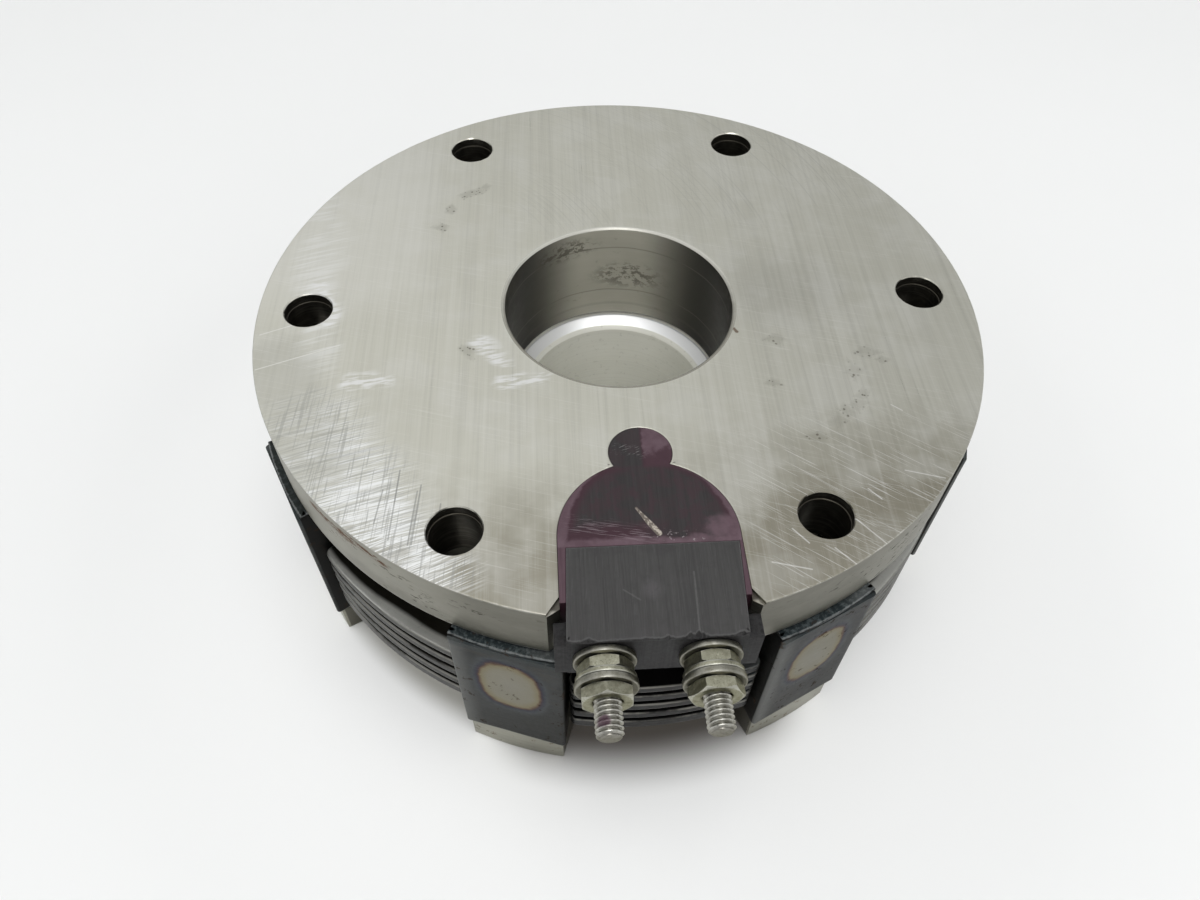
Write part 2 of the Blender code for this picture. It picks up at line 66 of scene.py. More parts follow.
HUB_TOP, HUB_BOTTOM, HUB_BORE_R, HUB_THREAD_R = 28.9, 0.5, 17.5, 27.0
SPLINES, SPLINE_ROOT_R, SPLINE_TIP_R = 20, 27.5, 29.7
KEYWAY_HALF, KEYWAY_R = 5.0, 20.8
ARMATURE_R, ARMATURE_Z0, ARMATURE_Z1 = 58.0, 8.5, 12.9
NUT_R0, NUT_R1, NUT_Z0, NUT_Z1 = 27.4, 35.0, 2.2, 8.2

rng = np.random.RandomState(11)


# ------------------------------------------------------------------ node helper
class S:
    """A float or vector output of a node tree, with arithmetic."""

    def __init__(self, g, sock):
        self.g, self.s = g, sock

    def __add__(self, o):
        return self.g.math('ADD', self, o)
    __radd__ = __add__

    def __mul__(self, o):
        return self.g.math('MULTIPLY', self, o)
    __rmul__ = __mul__

    def __sub__(self, o):
        return self.g.math('SUBTRACT', self, o)

    def __rsub__(self, o):
        return self.g.math('SUBTRACT', o, self)

    def __truediv__(self, o):
        return self.g.math('DIVIDE', self, o)


class Mat:
    def __init__(self, name, metallic=0.0, specular=0.5, coat=0.0, coat_rough=0.1, local=None, tint=None):
        self.m = bpy.data.materials.new(name)
        self.m.use_nodes = True
        self.nodes, self.links = self.m.node_tree.nodes, self.m.node_tree.links
        self.b = self.nodes["Principled BSDF"]
        self.b.inputs["Metallic"].default_value = metallic
        self.b.inputs["Specular IOR Level"].default_value = specular
        self.b.inputs["Coat Weight"].default_value = coat
        if tint:
            self.b.inputs["Specular Tint"].default_value = (*tint, 1.0)
        self.b.inputs["Coat Roughness"].default_value = coat_rough
        if local:
            n = self.nodes.new("ShaderNodeAttribute")
            n.attribute_name = local
            self.P = S(self, n.outputs["Vector"])
        else:
            tc = self.nodes.new("ShaderNodeTexCoord")
            self.P = self.vmath('SCALE', S(self, tc.outputs["Object"]), scale=1000.0)
        sep = self.nodes.new("ShaderNodeSeparateXYZ")
        self.links.new(self.P.s, sep.inputs[0])
        self.x, self.y, self.z = (S(self, sep.outputs[k]) for k in range(3))
        self.r = self.sqrt(self.x * self.x + self.y * self.y)

    def put(self, sock, v):
        if isinstance(v, S):
            self.links.new(v.s, sock)
        elif isinstance(v, (tuple, list)) and len(v) == 3 and sock.type == 'RGBA':
            sock.default_value = (*v, 1.0)
        else:
            sock.default_value = v

    def math(self, op, a, b=0.0, c=0.0, clamp=False):
        n = self.nodes.new("ShaderNodeMath")
        n.operation, n.use_clamp = op, clamp
        for k, v in enumerate((a, b, c)):
            self.put(n.inputs[k], v)
        return S(self, n.outputs[0])

    def vmath(self, op, a, b=None, scale=None):
        n = self.nodes.new("ShaderNodeVectorMath")
        n.operation = op
        self.put(n.inputs[0], a)
        if b is not None:
            self.put(n.inputs[1], b)
        if scale is not None:
            self.put(n.inputs["Scale"], scale)
        return S(self, n.outputs["Value" if op in ('LENGTH', 'DISTANCE', 'DOT_PRODUCT') else "Vector"])

    def vec(self, x, y, z):
        n = self.nodes.new("ShaderNodeCombineXYZ")
        for k, v in enumerate((x, y, z)):
            self.put(n.inputs[k], v)
        return S(self, n.outputs[0])

    def sqrt(self, a):
        return self.math('SQRT', a)

    def absf(self, a):
        return self.math('ABSOLUTE', a)

    def lo(self, a, b):
        return self.math('MINIMUM', a, b)

    def hi(self, a, b):
        return self.math('MAXIMUM', a, b)

    def sat(self, a):
        return self.math('ADD', a, 0.0, clamp=True)

    def smooth(self, a, e0, e1, o0=0.0, o1=1.0):
        """Smooth step from o0 at e0 to o1 at e1; e0 may be above e1."""
        if e0 > e1:
            e0, e1, o0, o1 = e1, e0, o1, o0
        n = self.nodes.new("ShaderNodeMapRange")
        n.interpolation_type = 'SMOOTHSTEP'
        for k, v in enumerate((a, e0, e1, o0, o1)):
            self.put(n.inputs[k], v)
        return S(self, n.outputs[0])

    def line(self, a, e0, e1, o0=0.0, o1=1.0):
        n = self.nodes.new("ShaderNodeMapRange")
        for k, v in enumerate((a, e0, e1, o0, o1)):
            self.put(n.inputs[k], v)
        return S(self, n.outputs[0])

    def noise(self, v, scale=1.0, detail=2.0, rough=0.5, distort=0.0):
        n = self.nodes.new("ShaderNodeTexNoise")
        for k, val in (("Vector", v), ("Scale", scale), ("Detail", detail), ("Roughness", rough), ("Distortion", distort)):
            self.put(n.inputs[k], val)
        return S(self, n.outputs[0])

    def cells(self, v, scale=1.0, feature='F1'):
        n = self.nodes.new("ShaderNodeTexVoronoi")
        n.feature = feature
        self.put(n.inputs["Vector"], v)
        self.put(n.inputs["Scale"], scale)
        return S(self, n.outputs["Distance"])

    def attr(self, name):
        n = self.nodes.new("ShaderNodeAttribute")
        n.attribute_name = name
        return S(self, n.outputs["Fac"])

    def mix(self, f, a, b, blend='MIX'):
        n = self.nodes.new("ShaderNodeMix")
        n.data_type, n.blend_type, n.clamp_factor = 'RGBA', blend, True
        self.put(n.inputs[0], f)
        self.put(n.inputs[6], a)
        self.put(n.inputs[7], b)
        return S(self, n.outputs[2])

    def lerp(self, f, a, b):
        n = self.nodes.new("ShaderNodeMix")
        n.data_type = 'FLOAT'
        self.put(n.inputs[0], f)
        self.put(n.inputs[2], a)
        self.put(n.inputs[3], b)
        return S(self, n.outputs[0])

    def ramp(self, f, stops):
        n = self.nodes.new("ShaderNodeValToRGB")
        e = n.color_ramp.elements
        while len(e) < len(stops):
            e.new(0.5)
        for k, (p, c) in enumerate(stops):
            e[k].position, e[k].color = p, (*c, 1.0)
        self.put(n.inputs[0], f)
        return S(self, n.outputs[0])

    def turned(self, deg, sx, sy, seed=0.0, x=None, y=None):
        """Coordinates turned by deg, then stretched: sx across the lines, sy along them. The lines run at deg."""
        a = math.radians(deg)
        x, y = x or self.x, y or self.y
        along = x * math.cos(a) + y * math.sin(a)
        across = y * math.cos(a) - x * math.sin(a)
        return self.vec(across * sx + seed * 17.3, along * sy + seed * 5.1, seed + 0.5)

    def streaks(self, deg, width, length, lo, hi, seed=0.0, detail=1.0, x=None, y=None):
        return self.smooth(self.noise(self.turned(deg, 1 / width, 1 / length, seed, x, y), 1.0, detail), lo, hi)

    def blob(self, cx, cy, rx, ry, e0=0.55, e1=1.0, x=None, y=None):
        dx = ((x or self.x) - cx) / rx
        dy = ((y or self.y) - cy) / ry
        return self.smooth(self.sqrt(dx * dx + dy * dy), e1, e0)

    def seg(self, a, b, x=None, y=None):
        """Distance from the line between two points, in the plane of two coordinates."""
        x, y = x or self.x, y or self.y
        dx, dy = b[0] - a[0], b[1] - a[1]
        t = self.math('ADD', ((x - a[0]) * dx + (y - a[1]) * dy) / (dx * dx + dy * dy), 0.0, clamp=True)
        u, v = x - a[0] - t * dx, y - a[1] - t * dy
        return self.sqrt(u * u + v * v)

    def gain(self, c, k):
        return self.mix(1.0, c, (k, k, k), 'MULTIPLY')

    def done(self, colour, rough, height=None, bump=0.02, strength=1.0, metallic=None):
        self.put(self.b.inputs["Base Color"], colour)
        self.put(self.b.inputs["Roughness"], rough)
        if metallic is not None:
            self.put(self.b.inputs["Metallic"], metallic)
        if height is not None:
            n = self.nodes.new("ShaderNodeBump")
            n.inputs["Strength"].default_value = strength
            n.inputs["Distance"].default_value = bump * 0.001
            self.put(n.inputs["Height"], height)
            self.links.new(n.outputs[0], self.b.inputs["Normal"])
        return self.m


# ------------------------------------------------------------------ materials
def steel_top():
    """Ground mounting face of the flange."""
    g = Mat("ground_steel", metallic=1.0)
    x, y = g.x, g.y
    big = g.noise(g.P, 0.030, 2.0, 0.55)
    mid = g.noise(g.P, 0.11, 3.0, 0.6)
    wx = x + (g.noise(g.vmath('ADD', g.P, (40.0, 9.0, 3.0)), 0.09, 2.0) - 0.5) * 9.0
    wy = y + (mid - 0.5) * 9.0
    fine = g.noise(g.turned(90.5, 6.5, 0.055, 1.0), 1.0, 3.0)
    bands = g.noise(g.turned(89.0, 1.5, 0.016, 2.0), 1.0, 2.0)
    cross = g.noise(g.turned(12.0, 4.5, 0.05, 3.0), 1.0, 1.0)
    # warm grey, darker and warmer towards the front and the right
    front = g.smooth(y + (mid - 0.5) * 22.0, -36.0, -57.0)
    right = g.smooth(x + (big - 0.5) * 40.0, -6.0, 34.0)
    warm = g.sat(front * 0.90 + right * g.smooth(y + (mid - 0.5) * 14.0, -24.0, -40.0) * 0.62)
    c = g.mix(big, (0.545, 0.536, 0.462), (0.650, 0.640, 0.565))
    c = g.mix(right * 0.20 + g.blob(29.0, 2.0, 18.0, 16.0, 0.1, 1.0) * 0.45, c, (0.42, 0.412, 0.362))
    c = g.mix(warm * 0.95, c, (0.300, 0.280, 0.222))
    c = g.mix(g.smooth(mid, 0.42, 0.66) * 0.22, c, (0.72, 0.715, 0.68))
    grain = (fine - 0.5) * 0.36 + (bands - 0.5) * 0.50 + (cross - 0.5) * 0.06
    c = g.mix(g.sat(grain * 0.9), c, (0.82, 0.81, 0.78))
    c = g.mix(g.sat(grain * -1.0), c, (0.24, 0.235, 0.21))
    # cross-hatched, bright area at the left front
    zone_a = g.smooth(g.seg((-52.0, -28.0), (-39.0, -47.5), wx, wy), 12.0, 4.5)
    zone_b = g.smooth(g.seg((-38.0, -50.5), (-27.5, -54.5), wx, wy), 5.5, 1.5)
    hatch = g.hi(zone_a, zone_b)
    hatch2 = g.smooth(g.seg((-47.0, -35.0), (-34.0, -52.5), wx, wy), 8.0, 2.0)
    lines_a = g.streaks(14.0, 0.19, 9.0, 0.42, 0.62, 4.0, 2.0)
    lines_b = g.streaks(24.0, 0.20, 7.0, 0.46, 0.64, 5.0, 1.0)
    lines_c = g.streaks(86.0, 0.28, 9.0, 0.54, 0.66, 6.0, 1.0)
    patch = g.smooth(mid, 0.36, 0.56)
    lit = g.sat(zone_a * lines_a * (0.18 + 0.50 * patch) + zone_b * lines_b * 0.55 + hatch * lines_b * 0.18
                + hatch2 * (0.22 + 0.34 * patch) * (0.5 + lines_a * 0.8))
    c = g.mix(lit, c, (0.90, 0.905, 0.895))
    c = g.mix(lines_c * hatch * 0.50, c, (0.34, 0.34, 0.32))
    lines_e = g.streaks(19.0, 0.24, 8.0, 0.55, 0.66, 12.0, 1.0)
    c = g.mix(lines_e * g.hi(hatch, hatch2) * 0.42, c, (0.33, 0.33, 0.305))
    # pale strip near the left edge, with cross streaks
    left = g.smooth(g.seg((-56.5, 30.0), (-50.5, -26.0), wx, wy), 6.0, 1.5)
    lines_d = g.streaks(17.0, 0.7, 9.0, 0.42, 0.66, 7.0, 1.0)
    c = g.mix(left * (0.08 + 0.42 * lines_d) * g.smooth(y, -22.0, -6.0), c, (0.88, 0.885, 0.88))
    c = g.mix(g.smooth(x, -26.0, -44.0) * g.smooth(y, -8.0, 12.0) * 0.38, c, (0.78, 0.77, 0.72))
    c = g.mix(g.smooth(g.seg((-60.0, -12.0), (-50.0, -34.0), wx, wy), 9.0, 3.0) * 0.35, c, (0.40, 0.395, 0.35))
    # scuffs
    ragged = g.streaks(8.0, 0.55, 3.0, 0.40, 0.60, 8.0, 1.0)
    scuff = g.lo(g.seg((-20.5, -19.6), (-14.2, -17.2), wx, wy), g.seg((-45.5, -18.6), (-39.0, -17.0), wx, wy))
    scuff = g.lo(scuff, g.seg((-53.8, 6.0), (-51.4, -2.0), wx, wy))
    scuff = g.lo(scuff, g.seg((-24.5, -9.5), (-21.5, -14.0), wx, wy))
    c = g.mix(g.smooth(scuff, 2.6, 0.4) * ragged * 0.62, c, (0.92, 0.92, 0.93))
    # single long light lines
    cut = g.seg((31.7, -48.6), (35.4, -53.4))
    for a, b in (((27.6, -53.6), (30.1, -56.5)), ((42.9, -26.8), (44.4, -28.1)), ((35.0, -43.4), (36.6, -45.4)),
                 ((41.6, -40.2), (47.4, -42.0)), ((18.0, -55.5), (23.5, -57.0)), ((22.0, -50.0), (24.0, -52.6)),
                 ((-62.0, -14.2), (-48.6, -9.0)), ((-62.6, -5.9), (-54.5, -2.6))):
        cut = g.lo(cut, g.seg(a, b))
    hair = g.streaks(-38.0, 0.13, 8.0, 0.70, 0.74, 9.0, 0.0) * g.smooth(x, 8.0, 26.0) * g.smooth(y, -22.0, -38.0)
    hair2 = g.streaks(-17.0, 0.12, 10.0, 0.71, 0.75, 10.0, 0.0)
    hairs = g.sat(g.smooth(cut, 0.16, 0.05) * 0.6 + hair * 0.5 + hair2 * 0.16)
    c = g.mix(hairs, c, (0.84, 0.83, 0.80))
    # dark scratches
    dark = g.seg((-36.3, -36.4), (-37.1, -49.0))
    for a, b in (((-32.9, -39.4), (-33.7, -50.0)), ((-33.4, -40.5), (-34.2, -50.0)), ((-38.6, -40.0), (-39.4, -46.0)),
                 ((-29.8, -43.0), (-30.4, -50.5))):
        dark = g.lo(dark, g.seg(a, b))
    c = g.mix(g.smooth(dark, 0.17, 0.05) * 0.55, c, (0.24, 0.24, 0.23))
    swirl = g.sqrt((x + 44.0) * (x + 44.0) + (y - 6.0) * (y - 6.0))
    arcs = g.smooth(g.noise(g.vec(swirl * 3.2, (x + y) * 0.03, 2.0), 1.0, 1.0), 0.57, 0.72) * g.smooth(y, 14.0, 30.0) \
        * g.smooth(x, -24.0, -8.0)
    c = g.mix(arcs * 0.26, c, (0.36, 0.36, 0.33))
    # pit clusters and faint smudges
    speck = g.cells(g.P, 1.35)
    speck_n = g.noise(g.P, 0.9, 2.0)
    spots = None
    for cx, cy, k in ((41.7, -14.5, 1.9), (38.5, -17.9, 2.0), (38.3, -22.9, 1.9), (37.5, -25.5, 2.1), (34.6, -27.2, 2.3),
                      (32.6, -29.6, 2.0), (30.1, -33.7, 2.3), (43.3, -16.7, 1.3), (24.8, -22.1, 1.5), (26.6, -11.1, 1.8),
                      (-26.0, -12.0, 1.9), (-27.4, 32.6, 2.3), (-25.4, 33.9, 1.8), (-30.6, 27.6, 1.8), (-34.0, 22.0, 1.7)):
        d = g.math('ABSOLUTE', wx - cx) * 0.8 + g.math('ABSOLUTE', wy - cy) * 0.8
        b = g.smooth(d, k, k * 0.35)
        spots = b if spots is None else g.hi(spots, b)
    pits = g.smooth(speck + (speck_n - 0.5) * 0.7, 0.34, 0.16)
    c = g.mix(spots * (0.20 + pits * 0.62), c, (0.150, 0.140, 0.112))
    nick = g.smooth(g.seg((19.7, -8.0), (20.1, -8.8)) + (speck_n - 0.5) * 0.5, 0.42, 0.15)
    c = g.mix(nick * 0.8, c, (0.15, 0.095, 0.060))
    worn = g.smooth(g.attr("edge") + (speck_n - 0.5) * 0.9, 0.62, 1.0)
    c = g.mix(worn * 0.45, c, (0.80, 0.79, 0.76))
    # painted shade: the rounded arris along the slot's mouth is painted dark, as a shade line
    lip = g.smooth(g.z, 51.495, 51.44) * g.smooth(y, -28.0, -29.0) * g.smooth(g.r, 63.2, 62.6) * g.smooth(g.absf(x - SLOT_X), 15.4, 14.6)
    c = g.mix(lip * 0.85, c, (0.060, 0.052, 0.044))
    rough = g.lerp(lit, 0.34, 0.44) + (fine - 0.5) * 0.20 + (bands - 0.5) * 0.10 + spots * 0.10
    return g.done(c, rough, fine * 0.6 + bands * 0.3, 0.012, 0.5)


def steel_side():
    """Rim, underside and pole ring: satin, turned lines, dark pits, a broken rust streak under the upper edge."""
    g = Mat("ground_steel_rim", metallic=1.0)
    x, y, z = g.x, g.y, g.z
    rings = g.noise(g.vec(x * 0.05, y * 0.05, z * 5.5), 1.0, 2.0)
    rim_n = g.noise(g.vmath('MULTIPLY', g.P, (0.16, 0.16, 0.35)), 1.0, 3.0, 0.6)
    fleck = g.noise(g.vmath('MULTIPLY', g.P, (0.55, 0.55, 1.6)), 1.0, 3.0, 0.65)
    c = g.mix(rim_n, (0.130, 0.125, 0.099), (0.268, 0.261, 0.218))
    c = g.mix((rings - 0.35) * 0.6, c, (0.34, 0.33, 0.284))
    c = g.mix(g.smooth(x, -20.0, -40.0) * g.smooth(y, -20.0, -36.0) * 0.42, c, (0.37, 0.362, 0.312))
    c = g.mix(g.smooth(x, -32.0, -22.0) * g.smooth(x, 40.0, 22.0) * 0.22, c, (0.0, 0.0, 0.0))
    group = g.noise(g.vmath('MULTIPLY', g.P, (0.055, 0.055, 0.10)), 1.0, 1.0)
    near = g.smooth(y, -34.0, -50.0)
    pits = g.smooth(fleck - near * 0.008, 0.43, 0.36) * g.smooth(rim_n + near * 0.02, 0.44, 0.56) \
        * g.smooth(group + near * 0.03, 0.48, 0.57) * g.smooth(z, 50.4, 47.5) * g.smooth(g.r, 55.0, 62.0)
    c = g.mix(pits * 0.80, c, (0.034, 0.029, 0.021))
    grime = g.smooth(fleck, 0.56, 0.70) * g.smooth(x, -18.0, -9.0) * g.smooth(x, 18.0, 12.0)
    c = g.mix(grime * 0.55, c, (0.060, 0.054, 0.043))
    low = g.smooth(z + (rim_n - 0.5) * 5.0, 44.5, 41.0) * g.smooth(y, -30.0, -52.0) * g.smooth(x, 0.0, -12.0)
    c = g.mix(low * 0.40, c, (0.095, 0.088, 0.070))
    rust_d = g.seg((-48.6, -41.3), (-38.8, -50.8))
    rust = g.smooth(rust_d, 2.6, 0.8) * g.smooth(g.absf(z - 49.2 + (rim_n - 0.5) * 2.6), 1.1, 0.35) * g.smooth(fleck, 0.42, 0.56)
    c = g.mix(rust * 0.85, c, (0.125, 0.050, 0.020))
    c = g.mix(g.smooth(g.attr("edge") + (fleck - 0.5) * 0.9, 0.35, 0.9) * 0.35, c, (0.62, 0.61, 0.57))
    rough = 0.46 + (rings - 0.5) * 0.15 + pits * 0.25 + rust * 0.35
    return g.done(c, rough, rings * 0.6 + fleck * 0.6, 0.016, 0.5)


def steel_bore():
    """Fine turned bore wall, oily brown-grey, with stains and a bright chamfer; painted shade darkens the wall except
    at the middle of the far side.
    """
    g = Mat("ground_steel_bore", metallic=0.35, specular=0.25)
    x, y, z = g.x, g.y, g.z
    lines = g.noise(g.vec(x * 0.03, y * 0.03, z * 2.2), 1.0, 2.0)
    cloud = g.noise(g.vmath('MULTIPLY', g.P, (0.10, 0.10, 0.16)), 1.0, 2.0)
    c = g.mix(cloud, (0.40, 0.385, 0.320), (0.54, 0.525, 0.450))
    c = g.mix((lines - 0.4) * 0.3, c, (0.62, 0.605, 0.54))
    # painted shade: the bore wall is painted near black except at the middle of the far side
    away = g.smooth(g.absf(x), 18.6, 5.0) * g.smooth(y, 2.0, 8.0)
    c = g.mix((1.0 - away * (0.45 + away * 0.55)) * 0.98, c, (0.014, 0.0125, 0.0095))
    for zc, w, k in ((46.8, 0.20, 0.40), (36.0, 0.22, 0.40), (32.2, 0.5, 0.16)):
        c = g.mix(g.smooth(g.absf(z - zc + (cloud - 0.5) * 0.8), w, w * 0.3) * k, c, (0.13, 0.125, 0.105))
    stain = g.noise(g.vmath('MULTIPLY', g.P, (0.60, 0.60, 0.85)), 1.0, 4.0, 0.68)
    st_a = g.blob(-9.0, 47.8, 8.5, 2.9, 0.3, 1.0, x, z) * g.smooth(y, 6.0, 12.0)
    st_b = g.blob(3.5, 40.0, 9.0, 4.2, 0.3, 1.0, x, z) * g.smooth(y, 6.0, 12.0)
    c = g.mix(g.smooth(stain, 0.48, 0.55) * g.sat(st_a * 0.8 + st_b * 0.75) * 0.85, c, (0.070, 0.060, 0.045))
    c = g.mix(g.smooth(stain, 0.62, 0.72) * 0.22, c, (0.10, 0.09, 0.07))
    top = g.smooth(z, 51.12, 51.20)
    c = g.mix(top, c, g.mix(g.smooth(y + (stain - 0.5) * 16.0, -12.0, 16.0), (0.26, 0.252, 0.215), (0.52, 0.512, 0.462)))
    rough = 0.36 + (stain - 0.5) * 0.25 + (lines - 0.5) * 0.1
    return g.done(c, rough, lines * 0.6 + stain * 0.3, 0.010, 0.4)


def steel_hole():
    """Drilled and counterbored holes: oily, painted dark as the shade inside a hole, faint tool rings."""
    g = Mat("ground_steel_hole", metallic=0.9)
    rings = g.noise(g.vec(g.x * 0.1, g.y * 0.1, g.z * 2.6), 1.0, 2.0)
    n = g.noise(g.P, 0.55, 3.0, 0.6)
    # painted shade: the hole walls are painted near black
    c = g.mix(n, (0.022, 0.019, 0.014), (0.105, 0.098, 0.080))
    c = g.mix(g.smooth(rings, 0.52, 0.66) * 0.35, c, (0.18, 0.172, 0.145))
    c = g.mix(g.smooth(g.absf(g.z - 49.72), 0.14, 0.06) * 0.8, c, (0.040, 0.036, 0.028))
    c = g.mix(g.smooth(g.z, 51.20, 51.36) * 0.75, c, (0.34, 0.335, 0.31))
    return g.done(c, 0.40 + (n - 0.5) * 0.2, rings * 0.8 + n * 0.3, 0.014, 0.5)


def resin_mat():
    g = Mat("burgundy_resin", specular=0.20)
    x, y, z = g.x, g.y, g.z
    n1 = g.noise(g.P, 0.42, 3.0, 0.62)
    n2 = g.noise(g.P, 1.6, 2.0, 0.6)
    wx = x + (n1 - 0.5) * 3.0
    wy = y + (g.noise(g.vmath('ADD', g.P, (9.0, 31.0, 2.0)), 0.42, 2.0) - 0.5) * 2.6
    brush = g.noise(g.turned(90.0, 4.2, 0.10, 1.0), 1.0, 3.0)
    brush2 = g.noise(g.turned(90.0, 1.1, 0.05, 2.0), 1.0, 1.0)
    dull = g.smooth(n1, 0.34, 0.62)
    # purple only as a thin edge, wider at the left and at the right end of the joint; the middle is rubbed dark
    ed = 13.5 - g.sqrt((x - SLOT_X) * (x - SLOT_X) + (y - SLOT_CY) * (y - SLOT_CY)) + (n1 - 0.5) * 1.7
    width = g.smooth(x, -6.0, -12.0) * 1.55 + g.smooth(x, 9.0, 13.2) * 0.95 - 0.15
    purple = g.smooth(ed - width + (n2 - 0.5) * 0.5, 0.50, -0.35)
    purple = g.hi(purple, g.blob(12.4, -49.2, 4.3, 3.1, 0.40, 0.98, wx, wy) * 0.92)
    purple = g.hi(purple, g.smooth(wy, -50.0, -50.9))
    wine = g.smooth(ed - width, 2.6, 0.4) * g.smooth(x, 2.0, -4.0)
    wine = g.hi(wine, g.smooth(wy, -46.4, -49.6) * g.smooth(x, 7.0, -3.0))
    wine = g.hi(wine, g.smooth(ed - width, 1.8, 0.3) * 0.85)
    wine = g.hi(wine, g.smooth(brush2 + (n1 - 0.5) * 0.9, 0.52, 0.68) * 0.38)
    lobe = g.smooth(y, -38.1, -37.0)
    lobe_p = g.smooth(x + (n1 - 0.5) * 1.4, 1.1, 1.5) * (0.12 + 0.88 * g.smooth(y + (n1 - 0.5) * 5.0 - (x - 3.0) * 0.5, -35.6, -33.6)) * 0.85
    lobe_w = g.smooth(x, 0.7, 1.4)
    purple = g.lerp(lobe, purple, lobe_p)
    wine = g.lerp(lobe, wine, lobe_w)
    base = g.mix(brush, (0.0150, 0.0132, 0.0137), (0.042, 0.0385, 0.0395))
    base = g.mix(g.smooth(n1, 0.42, 0.60) * 0.35, base, (0.042, 0.024, 0.028))
    base = g.mix((brush2 - 0.42) * 0.30, base, (0.068, 0.065, 0.067))
    mauve = g.mix(n1, (0.080, 0.045, 0.057), (0.138, 0.094, 0.112))
    c = g.mix(wine * 0.80, base, (0.046, 0.018, 0.027))
    c = g.mix(purple * (0.74 + dull * 0.20), c, mauve)
    # white scratches in the left part of the band beside the straight joint
    zone = g.smooth(g.seg((-10.8, -47.4), (0.5, -50.2), wx, wy), 2.2, 0.4)
    scr = g.streaks(-11.0, 0.085, 3.4, 0.60, 0.67, 3.0, 1.0)
    c = g.mix(zone * scr * 0.55, c, (0.27, 0.22, 0.24))
    zone2 = g.smooth(g.seg((2.0, -50.0), (8.0, -50.8), wx, wy), 1.2, 0.3)
    c = g.mix(zone2 * g.smooth(n2, 0.58, 0.64) * 0.55, c, (0.34, 0.30, 0.31))
    zone3 = g.smooth(g.seg((-2.6, -33.8), (1.0, -34.8), wx, wy), 1.5, 0.4)
    c = g.mix(zone3 * g.streaks(20.0, 0.12, 1.2, 0.60, 0.66, 4.0, 1.0) * 0.45, c, (0.22, 0.21, 0.21))
    # one deep pale gouge
    gd = g.seg((-0.70, -45.2), (2.30, -49.8)) + (n2 - 0.5) * 0.18
    wide = g.smooth(y, -44.8, -48.8, 0.18, 0.52)
    gouge = g.smooth(gd / wide, 1.0, 0.70)
    c = g.mix(gouge, c, g.mix(g.smooth(n2, 0.42, 0.58), (0.13, 0.11, 0.095), (0.40, 0.36, 0.31)))
    strip = g.smooth(y, -51.4, -51.7)
    c = g.mix(strip * 0.8, c, g.mix(brush, (0.036, 0.014, 0.021), (0.105, 0.066, 0.080)))
    c = g.mix(g.smooth(z, 51.42, 51.30), c, (0.030, 0.012, 0.018))
    rough = 0.50 + (brush - 0.5) * 0.25 - purple * 0.08 + gouge * 0.25
    return g.done(c, rough, brush * 0.5 - gouge * 1.6, 0.03, 0.45)


def block_mat():
    g = Mat("grey_moulding", specular=0.22)
    x, y, z = g.x, g.y, g.z
    n1 = g.noise(g.P, 0.25, 3.0, 0.6)
    n2 = g.noise(g.P, 2.0, 3.0, 0.65)
    brush = g.noise(g.turned(90.0, 4.4, 0.07, 5.0), 1.0, 3.0)
    band = g.noise(g.turned(90.0, 0.9, 0.03, 6.0), 1.0, 1.0)
    top = g.smooth(z, 51.30, 51.42)
    c = g.mix(brush, (0.028, 0.0272, 0.0270), (0.064, 0.0625, 0.0615))
    c = g.mix((band - 0.4) * 0.5, c, (0.080, 0.080, 0.078))
    c = g.mix(g.smooth(n1, 0.5, 0.7) * 0.22, c, (0.066, 0.060, 0.064))
    pale = g.blob(0.4, -59.0, 2.2, 2.2, 0.1, 1.0)
    c = g.mix(pale * 0.28, c, (0.118, 0.108, 0.116))
    dim = g.smooth(y, -57.0, -52.0) * g.smooth(n1, 0.40, 0.62)
    c = g.mix(dim * 0.45, c, (0.034, 0.032, 0.033))
    line = g.smooth(g.seg((6.6, -56.5), (6.2, -67.0)) + (n2 - 0.5) * 0.22, 0.20, 0.05)
    line2 = g.smooth(g.seg((-3.6, -58.9), (-1.4, -60.6)) + (n2 - 0.5) * 0.3, 0.20, 0.03)
    c = g.mix(g.sat(line * 0.26 + line2 * 0.20), c, (0.17, 0.17, 0.165))
    c = g.mix(g.streaks(86.0, 0.12, 2.6, 0.68, 0.76, 7.0, 0.0) * 0.09, c, (0.15, 0.15, 0.15))
    c = g.mix(g.smooth(g.noise(g.P, 0.62, 3.0, 0.7), 0.52, 0.70) * 0.30, c, (0.036, 0.0355, 0.0350))
    chip = g.smooth(g.attr("edge") + (n2 - 0.5) * 1.0, 0.5, 1.0)
    c = g.mix(chip * 0.22 * top, c, (0.15, 0.15, 0.15))
    front = g.mix(g.smooth(n2, 0.30, 0.70), (0.0078, 0.0074, 0.0078), (0.0245, 0.0238, 0.0245))
    front = g.mix(g.smooth(n1, 0.45, 0.62) * 0.4, front, (0.014, 0.0125, 0.0125))
    c = g.mix(top, g.mix(chip * 0.16, front, (0.09, 0.088, 0.086)), c)
    return g.done(c, 0.60 + (brush - 0.5) * 0.22, brush * 0.35 + n2 * 0.5, 0.035, 0.5)


